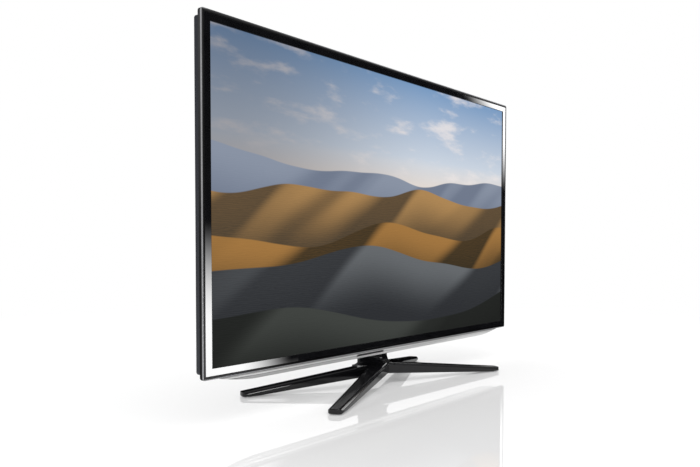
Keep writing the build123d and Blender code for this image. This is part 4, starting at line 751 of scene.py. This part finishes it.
# %% Stand
ROUND_FROM = 0.06
ROUND_FULL = 0.12
ROUND_STEPS = 4
HUB_TOP = 0.05
HUB_SHARE = 0.04
NECK_SHARE = 0.16
RIDGE_GAIN = 0.84
UPPER_GAIN = 0.24
LOWER_GAIN = 0.1
LEG_ROUND = 3.0 * MM
TIP_REACH = 0.1347


def leg_edge_share(edge):
    """All of the width where a leg's flat top meets its slope, less elsewhere and near the neck."""
    lower, upper = sorted(face.normal.z for face in edge.link_faces)
    middle = (edge.verts[0].co + edge.verts[1].co) / 2
    outward = min(max((abs(middle.x) - ROUND_FROM) / (ROUND_FULL - ROUND_FROM), 0.0), 1.0)
    least = NECK_SHARE if middle.z > HUB_TOP or outward > 0 else HUB_SHARE
    if upper > 0.97 and 0.5 < lower < 0.9:
        return least + RIDGE_GAIN * outward
    return least + (UPPER_GAIN if upper > 0.5 else LOWER_GAIN) * outward


leg_cuts = [side * (ROUND_FROM + (ROUND_FULL - ROUND_FROM) * i / ROUND_STEPS)
            for side in (-1, 1) for i in range(ROUND_STEPS + 1)]
stand_body = softened_copy("stand_casting", "stand_legs", LEG_ROUND, 4, leg_edge_share, leg_cuts)
for vertex in stand_body.data.vertices:
    vertex.co.y = min(max(vertex.co.y, -TIP_REACH), TIP_REACH)
stand_body.data.materials[0] = FINISH["stand_black"]
settle(stand_body, "base", "stand_casting")

# %% [markdown]
# The other rounded copies need one width each. The neck cover takes the stand's finish, a
# little less glossy than the frame's.

# %% Covers and feet
neck_cover = softened_copy("neck_shroud", "neck_cover", 1.2 * MM, 3)
neck_cover.data.materials[0] = FINISH["stand_black"]
settle(neck_cover, "screen", "neck_shroud")
for node_name, name, body, width in (("rear_cover", "rear_shell", "screen", 0.7 * MM),
                                     ("connector_bays", "bay_trays", "screen", 0.4 * MM),
                                     ("stick_housing", "stick_block", "screen", 0.6 * MM),
                                     ("foot_pads", "rubber_feet", "base", 0.5 * MM)):
    settle(softened_copy(node_name, name, width), body, node_name)

# %% [markdown]
# ## Screws
# Crosshead screws hold the cover, the bracket and the hub's bottom plate. All are one shape in
# several sizes, made by a geometry node group. The helpers here start such a group, run it on
# a piece, shift a shape inside it and close it.

# %% Geometry node helpers


def new_group(name, inputs):
    """A geometry node group with named inputs, its two ends and its sockets' identifiers."""
    group = bpy.data.node_groups.new(name, "GeometryNodeTree")
    group.interface.new_socket(name="Geometry", in_out="INPUT", socket_type="NodeSocketGeometry")
    keys = {}
    for label, kind in inputs.items():
        keys[label] = group.interface.new_socket(name=label, in_out="INPUT",
                                                 socket_type="NodeSocket" + kind).identifier
    group.interface.new_socket(name="Geometry", in_out="OUTPUT",
                               socket_type="NodeSocketGeometry")
    return group, group.nodes.new("NodeGroupInput"), group.nodes.new("NodeGroupOutput"), keys


def run_group(piece, group, keys, values):
    """Run a node group on a piece with these input values, and keep the result."""
    modifier = piece.modifiers.new(group.name, "NODES")
    modifier.node_group = group
    for label, value in values.items():
        modifier[keys[label]] = value
    keep_result(piece)


def moved(tree, shape, z):
    """The shape shifted along Z by a socket's value."""
    shift = add(tree, "ShaderNodeCombineXYZ", {"Z": z}).outputs[0]
    step = add(tree, "GeometryNodeTransform", {"Geometry": shape, "Translation": shift})
    return step.outputs[0]


def finish_group(group, end, shape, material):
    """Real geometry with its material at the group's end."""
    real = add(group, "GeometryNodeRealizeInstances", {"Geometry": shape})
    done = add(group, "GeometryNodeSetMaterial",
               {"Geometry": real.outputs[0], "Material": material})
    group.links.new(done.outputs[0], end.inputs[0])


print("geometry node helpers ready")

# %% [markdown]
# The group makes one screw from its sizes: a round head with a cross pressed into it, on a
# plain shank. The head's seat is at its origin, and a copy goes on each point that it is given.

# %% Screw group
HEAD_SIDES = 40
SHANK_SIDES = 24
screw_group, start, end, SCREW_KEYS = new_group(
    "crosshead_screws", {"Head Radius": "Float", "Head Height": "Float", "Shank Radius": "Float",
                         "Shank Length": "Float", "Slot Width": "Float", "Slot Depth": "Float",
                         "Turn": "Vector", "Finish": "Material"})
size = start.outputs
half_head = calc(screw_group, "MULTIPLY", size["Head Height"], 0.5)
head = add(screw_group, "GeometryNodeMeshCylinder",
           {"Vertices": HEAD_SIDES, "Radius": size["Head Radius"], "Depth": size["Head Height"]})
head = moved(screw_group, head.outputs["Mesh"], half_head)
arm = calc(screw_group, "MULTIPLY", size["Head Radius"], 1.2)
deep = calc(screw_group, "MULTIPLY", size["Slot Depth"], 2.0)
for wide, tall in ((arm, size["Slot Width"]), (size["Slot Width"], arm)):
    sizes = add(screw_group, "ShaderNodeCombineXYZ", {"X": wide, "Y": tall, "Z": deep})
    bar = add(screw_group, "GeometryNodeMeshCube", {"Size": sizes.outputs[0]}).outputs["Mesh"]
    bar = moved(screw_group, bar, size["Head Height"])
    cut = add(screw_group, "GeometryNodeMeshBoolean", operation="DIFFERENCE")
    screw_group.links.new(head, cut.inputs["Mesh 1"])
    screw_group.links.new(bar, cut.inputs["Mesh 2"])
    head = cut.outputs["Mesh"]
shank = add(screw_group, "GeometryNodeMeshCylinder",
            {"Vertices": SHANK_SIDES, "Radius": size["Shank Radius"], "Depth": size["Shank Length"]})
half_shank = calc(screw_group, "MULTIPLY", size["Shank Length"], -0.5)
shank = moved(screw_group, shank.outputs["Mesh"], half_shank)
whole = add(screw_group, "GeometryNodeJoinGeometry")
screw_group.links.new(head, whole.inputs[0])
screw_group.links.new(shank, whole.inputs[0])
placed = add(screw_group, "GeometryNodeInstanceOnPoints",
             {"Points": size["Geometry"], "Instance": whole.outputs[0], "Rotation": size["Turn"]})
finish_group(screw_group, end, placed.outputs[0], size["Finish"])
print("screw group nodes:", len(screw_group.nodes))

# %% [markdown]
# The places and the sizes are read off the CAD screws. Each node's mesh falls into separate
# screws, and along a screw the widest points belong to its head.

# %% Screws where the CAD has them
BACKWARD = Vector((0.0, 1.0, 0.0))
DOWNWARD = Vector((0.0, 0.0, -1.0))
SLOT_WIDTH_SHARE = 0.26
SLOT_DEPTH_SHARE = 0.55


def loose_parts(node_name):
    """The corner points of each separate solid of a CAD node, in the order of its mesh."""
    bm = joined_mesh(node_name)
    left = set(bm.verts)
    parts = []
    for first in bm.verts:
        if first not in left:
            continue
        left.remove(first)
        waiting = [first]
        part = []
        while waiting:
            vert = waiting.pop()
            part.append(vert.co.copy())
            for edge in vert.link_edges:
                other = edge.other_vert(vert)
                if other in left:
                    left.remove(other)
                    waiting.append(other)
        parts.append(part)
    bm.free()
    return parts


def screw_sizes(points, axis):
    """Where a screw's head seats, and its sizes, from its corner points. The axis points out of
    the head."""
    middle = (Vector(map(min, zip(*points))) + Vector(map(max, zip(*points)))) / 2
    along = [(point - middle).dot(axis) for point in points]
    across = [((point - middle) - axis * a).length for point, a in zip(points, along)]
    head_radius = max(across)
    seat = min(a for a, r in zip(along, across) if r > 0.95 * head_radius)
    shank_radius = max(r for a, r in zip(along, across) if a < seat - 0.1 * MM)
    return middle + axis * seat, head_radius, max(along) - seat, shank_radius, seat - min(along)


def screws(node_name, name, body, axis):
    """Crosshead screws in place of a CAD node's plain ones."""
    found = [screw_sizes(points, axis) for points in loose_parts(node_name)]
    bm = bmesh.new()
    for seat, *_ in found:
        bm.verts.new(seat)
    piece = piece_from(bm, name, FINISH["screw_steel"])
    _, head_radius, head_height, shank_radius, shank_length = found[0]
    turn = Vector((0, 0, 1)).rotation_difference(axis).to_euler()
    run_group(piece, screw_group, SCREW_KEYS,
              {"Head Radius": head_radius, "Head Height": head_height, "Shank Radius": shank_radius,
               "Shank Length": shank_length, "Slot Width": head_radius * SLOT_WIDTH_SHARE,
               "Slot Depth": head_height * SLOT_DEPTH_SHARE, "Turn": tuple(turn),
               "Finish": FINISH["screw_steel"]})
    settle(piece, body, node_name)


screws("cover_screws", "cover_crossheads", "screen", BACKWARD)
screws("bracket_screws", "bracket_crossheads", "screen", BACKWARD)
screws("bottom_cover_screws", "bottom_crossheads", "base", DOWNWARD)

# %% [markdown]
# ## Control stick
# The stick at the back is found by touch alone, so its cap has a ring of short raised bars on
# its end. They are one bar turned round the stick's axis by a second node group.

# %% Control stick
BAR_COUNT = 12
grip_group, start, end, GRIP_KEYS = new_group(
    "grip_bars", {"Count": "Int", "Ring Radius": "Float", "Bar Size": "Vector", "Middle": "Vector",
                  "Finish": "Material"})
size = start.outputs
ring = add(grip_group, "GeometryNodeMeshCircle",
           {"Vertices": size["Count"], "Radius": size["Ring Radius"]})
bar = add(grip_group, "GeometryNodeMeshCube", {"Size": size["Bar Size"]}).outputs["Mesh"]
place = add(grip_group, "GeometryNodeInputPosition").outputs[0]
facing = add(grip_group, "FunctionNodeAlignRotationToVector", {"Vector": place}, axis="X")
bars = add(grip_group, "GeometryNodeInstanceOnPoints",
           {"Points": ring.outputs[0], "Instance": bar, "Rotation": facing.outputs[0]})
upright = add(grip_group, "GeometryNodeTransform",
              {"Geometry": bars.outputs[0], "Rotation": (-pi / 2, 0.0, 0.0),
               "Translation": size["Middle"]})
both = add(grip_group, "GeometryNodeJoinGeometry")
grip_group.links.new(size["Geometry"], both.inputs[0])
grip_group.links.new(upright.outputs[0], both.inputs[0])
finish_group(grip_group, end, both.outputs[0], size["Finish"])

knob_low, knob_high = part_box("stick_knob")
knob_radius = (knob_high.x - knob_low.x) / 2
knob_cap = softened_copy("stick_knob", "knob_cap", 0.4 * MM, 3)
run_group(knob_cap, grip_group, GRIP_KEYS,
          {"Count": BAR_COUNT, "Ring Radius": knob_radius * 0.68,
           "Bar Size": (knob_radius * 0.3, knob_radius * 0.1, 0.5 * MM),
           "Middle": ((knob_low.x + knob_high.x) / 2, knob_high.y, (knob_low.z + knob_high.z) / 2),
           "Finish": FINISH["rubber"]})
settle(knob_cap, "stick_button", "stick_knob")

# %% [markdown]
# ## Studio
# The photograph is a studio picture on white. Soft light comes from all around, so the world
# is the main light. What the camera sees behind the set and in the floor's mirror is plain
# white. Gloss black shows only what it mirrors, so for blurred reflections the studio is a dim
# room, with a black curtain to the right and one bright strip over it that draws a line along
# the legs.

# %% World
LIGHT_LEVEL = 0.9
ROOM_LEVEL = 0.3
STRIP_LEVEL = 3.0
world = bpy.data.worlds.new("studio")
bpy.context.scene.world = world
world.use_nodes = True
tree = world.node_tree
background = tree.nodes["Background"]
direction = add(tree, "ShaderNodeTexCoord").outputs["Generated"]
split = add(tree, "ShaderNodeSeparateXYZ", {"Vector": direction})
up = split.outputs["Z"]
away = split.outputs["Y"]
right = split.outputs["X"]
path = add(tree, "ShaderNodeLightPath")
seen = calc(tree, "MAXIMUM", path.outputs["Is Camera Ray"], path.outputs["Is Transmission Ray"])
seen = calc(tree, "MAXIMUM", seen, path.outputs["Is Singular Ray"])
curtain = calc(tree, "MULTIPLY", fade(tree, right, (0.3, 0.5), smooth=True),
               fade(tree, up, (0.5, 0.35), smooth=True))
room = calc(tree, "MULTIPLY_ADD", curtain, -ROOM_LEVEL, ROOM_LEVEL)
strip = calc(tree, "MULTIPLY", fade(tree, up, (0.36, 0.42), smooth=True),
             fade(tree, up, (0.58, 0.52), smooth=True))
strip = calc(tree, "MULTIPLY", strip, fade(tree, right, (0.74, 0.82), smooth=True))
strip = calc(tree, "MULTIPLY", strip, remap(tree, away, -0.1, 0.05, 0.0, STRIP_LEVEL, smooth=True))
room = calc(tree, "MAXIMUM", room, strip)
level = add(tree, "ShaderNodeMix", {0: path.outputs["Is Glossy Ray"], 2: LIGHT_LEVEL, 3: room})
level = add(tree, "ShaderNodeMix", {0: seen, 2: level.outputs[0], 3: 1.0})
wire(tree, {"Color": WHITE, "Strength": level.outputs[0]}, background)
print("world light", LIGHT_LEVEL)

# %% [markdown]
# One broad soft lamp above, in front and to the left, adds a little shape and a soft shadow.

# %% Lamp above
LAMP_PLACE = (-0.6, -0.7, 2.6)
LAMP_TARGET = (0.0, 0.0, 0.3)
lamp_data = bpy.data.lights.new("soft_lamp", "AREA")
lamp_data.shape = "RECTANGLE"
lamp_data.size = 2.4
lamp_data.size_y = 1.6
lamp_data.energy = 14.0
lamp = bpy.data.objects.new("soft_lamp", lamp_data)
lamp.location = LAMP_PLACE
lamp_axis = Vector(LAMP_PLACE) - Vector(LAMP_TARGET)
lamp.rotation_euler = lamp_axis.to_track_quat("Z", "Y").to_euler()
lamp.visible_camera = False
bpy.context.scene.collection.objects.link(lamp)
print("lamp at", tuple(lamp.location))

# %% [markdown]
# ## Floor
# The floor is pale and a little glossy near the set, so that the legs stand on a faint mirror
# image of themselves. Near the set it is lit like everything else and keeps the set's shadow.
# A little light of its own, seen only by the camera, lifts it, and farther out it turns plain
# white. In the gloss of the frame and the legs the far floor at the right is black, as the
# curtain above it is.

# %% Floor
FLOOR_HALF = 9.0
FLOOR_DROP = 0.0002
PAPER_GRAY = 0.8
CAMERA_GLOW = 0.3
MIRROR_SHARE = 0.28
bm = bmesh.new()
bmesh.ops.create_grid(bm, x_segments=8, y_segments=8, size=FLOOR_HALF)
bmesh.ops.translate(bm, verts=bm.verts, vec=(0.0, 0.0, -FLOOR_DROP))
floor_finish, tree, surface = start_finish("floor")
tree.nodes.remove(surface)
coordinates = add(tree, "ShaderNodeTexCoord").outputs["Object"]
distance = add(tree, "ShaderNodeVectorMath", {0: coordinates}, operation="LENGTH").outputs["Value"]
path = add(tree, "ShaderNodeLightPath")
by_camera = path.outputs["Is Camera Ray"]
paper = add(tree, "ShaderNodeBsdfDiffuse", {"Color": gray(PAPER_GRAY)})
glow = add(tree, "ShaderNodeEmission",
           {"Color": WHITE, "Strength": calc(tree, "MULTIPLY", by_camera, CAMERA_GLOW)})
lit = add(tree, "ShaderNodeAddShader", {0: paper.outputs[0], 1: glow.outputs[0]})
white = add(tree, "ShaderNodeEmission", {"Color": WHITE, "Strength": 1.0})
open_floor = calc(tree, "MULTIPLY", by_camera, fade(tree, distance, (0.8, 2.2), smooth=True))
lit = add(tree, "ShaderNodeMixShader", {0: open_floor, 1: lit.outputs[0], 2: white.outputs[0]})
mirror = add(tree, "ShaderNodeBsdfAnisotropic", {"Color": WHITE, "Roughness": 0.0})
near = remap(tree, distance, 0.5, 1.4, MIRROR_SHARE, 0.0, smooth=True)
gloss_share = calc(tree, "MULTIPLY", near, by_camera)
floor_mix = add(tree, "ShaderNodeMixShader",
                {0: gloss_share, 1: lit.outputs[0], 2: mirror.outputs[0]})
dark = add(tree, "ShaderNodeEmission", {"Color": BLACKEST, "Strength": 0.0})
across = add(tree, "ShaderNodeSeparateXYZ", {"Vector": coordinates}).outputs["X"]
far_right = calc(tree, "MULTIPLY", fade(tree, distance, (0.36, 0.5), smooth=True),
                 fade(tree, across, (-0.1, 0.1), smooth=True))
far_dark = calc(tree, "MULTIPLY", path.outputs["Is Glossy Ray"], far_right)
shown = add(tree, "ShaderNodeMixShader", {0: far_dark, 1: floor_mix.outputs[0], 2: dark.outputs[0]})
tree.links.new(shown.outputs[0], tree.nodes["Material Output"].inputs["Surface"])
floor = piece_from(bm, "floor", floor_finish)
print("floor half size", FLOOR_HALF)

# %% [markdown]
# ## Reflection cards
# Photographers place white cards where a gloss surface mirrors them. The set's face acts as a
# mirror, so a card is placed on the line from the camera's mirror image through the place on
# the frame that should turn white. One low card in front whitens the lower left of the frame,
# and one high at the right whitens its upper right corner. They fade out at their ends.

# %% Places for cards
MIRROR_EYE = Vector((CAMERA_PLACE[0], 2 * FRONT_Y - CAMERA_PLACE[1], CAMERA_PLACE[2]))


def seen_at(x, z, depth):
    """Where a card at a depth shows in the frame at x, z."""
    on_frame = Vector((x, FRONT_Y, z))
    line = on_frame - MIRROR_EYE
    return MIRROR_EYE + line * ((depth - MIRROR_EYE.y) / line.y)


def card_fades(tree, depth, x_fades, z_fades):
    """A card's share of its full light: it rises over the first span of each pair and falls
    over the second. The spans are given as places on the frame where they show."""
    split = add(tree, "ShaderNodeSeparateXYZ", {"Vector": place_on_piece(tree)})
    share = 1.0
    for axis, letter, fades in ((0, "X", x_fades), (2, "Z", z_fades)):
        for (start, end), to_low in zip(fades, (0.0, 1.0)):
            first, last = (seen_at(place, place, depth)[axis] for place in (start, end))
            step = remap(tree, split.outputs[letter], first, last, to_low, 1.0 - to_low, smooth=True)
            share = calc(tree, "MULTIPLY", share, step)
    return share


print("mirror image of the camera at", tuple(round(value, 3) for value in MIRROR_EYE))

# %% [markdown]
# A card shows in slightly blurred reflections alone, so the floor, a perfect mirror, doesn't
# show it. A ray shorter than the card's reach doesn't see it either, which keeps the low card
# out of sight from straight ahead, where the way to it is shortest. The third card is a small
# black flag, nearer than the low card. It keeps that card off the neck's gloss.

# %% Reflection cards
ALWAYS = (-9.0, -8.0)
NEVER = (8.0, 9.0)


def card(name, depth, x_range, z_range, strength, x_fades, z_fades, reach=0.0):
    """A glowing rectangle at a depth, seen only in reflections and only from the set's side. Its
    edges are given as places on the frame where they show."""
    low, high = (seen_at(x, z, depth) for x, z in zip(x_range, z_range))
    bm = bmesh.new()
    corners = ((low.x, low.z), (high.x, low.z), (high.x, high.z), (low.x, high.z))
    bm.faces.new([bm.verts.new((x, depth, z)) for x, z in reversed(corners)])
    material, tree, surface = start_finish(name)
    tree.nodes.remove(surface)
    share = card_fades(tree, depth, x_fades, z_fades)
    facing = add(tree, "ShaderNodeNewGeometry").outputs["Backfacing"]
    path = add(tree, "ShaderNodeLightPath")
    hidden = calc(tree, "MAXIMUM", facing, path.outputs["Is Singular Ray"])
    too_near = calc(tree, "LESS_THAN", path.outputs["Ray Length"], reach)
    hidden = calc(tree, "MAXIMUM", hidden, too_near)
    share = calc(tree, "MULTIPLY", share, calc(tree, "SUBTRACT", 1.0, hidden))
    light = add(tree, "ShaderNodeEmission", {"Color": WHITE, "Strength": strength})
    clear = add(tree, "ShaderNodeBsdfTransparent")
    mix = add(tree, "ShaderNodeMixShader", {0: share, 1: clear.outputs[0], 2: light.outputs[0]})
    tree.links.new(mix.outputs[0], tree.nodes["Material Output"].inputs["Surface"])
    piece = piece_from(bm, name, material)
    piece.visible_camera = False
    piece.visible_diffuse = False
    piece.visible_transmission = False
    piece.visible_shadow = False


card("low_card", -0.2, (-0.6, -0.32), (0.055, 0.35), 18.0, (ALWAYS, (-0.46, -0.32)),
     (ALWAYS, (0.17, 0.35)), reach=0.195)
card("high_card", -1.6, (0.3, 0.6), (0.45, 0.76), 11.0, ((0.3, 0.5), NEVER), ((0.45, 0.62), NEVER))
card("neck_flag", -0.1, (-0.302, -0.1), (0.03, 0.128), 0.0, (ALWAYS, NEVER), (ALWAYS, NEVER))
print("cards ready")
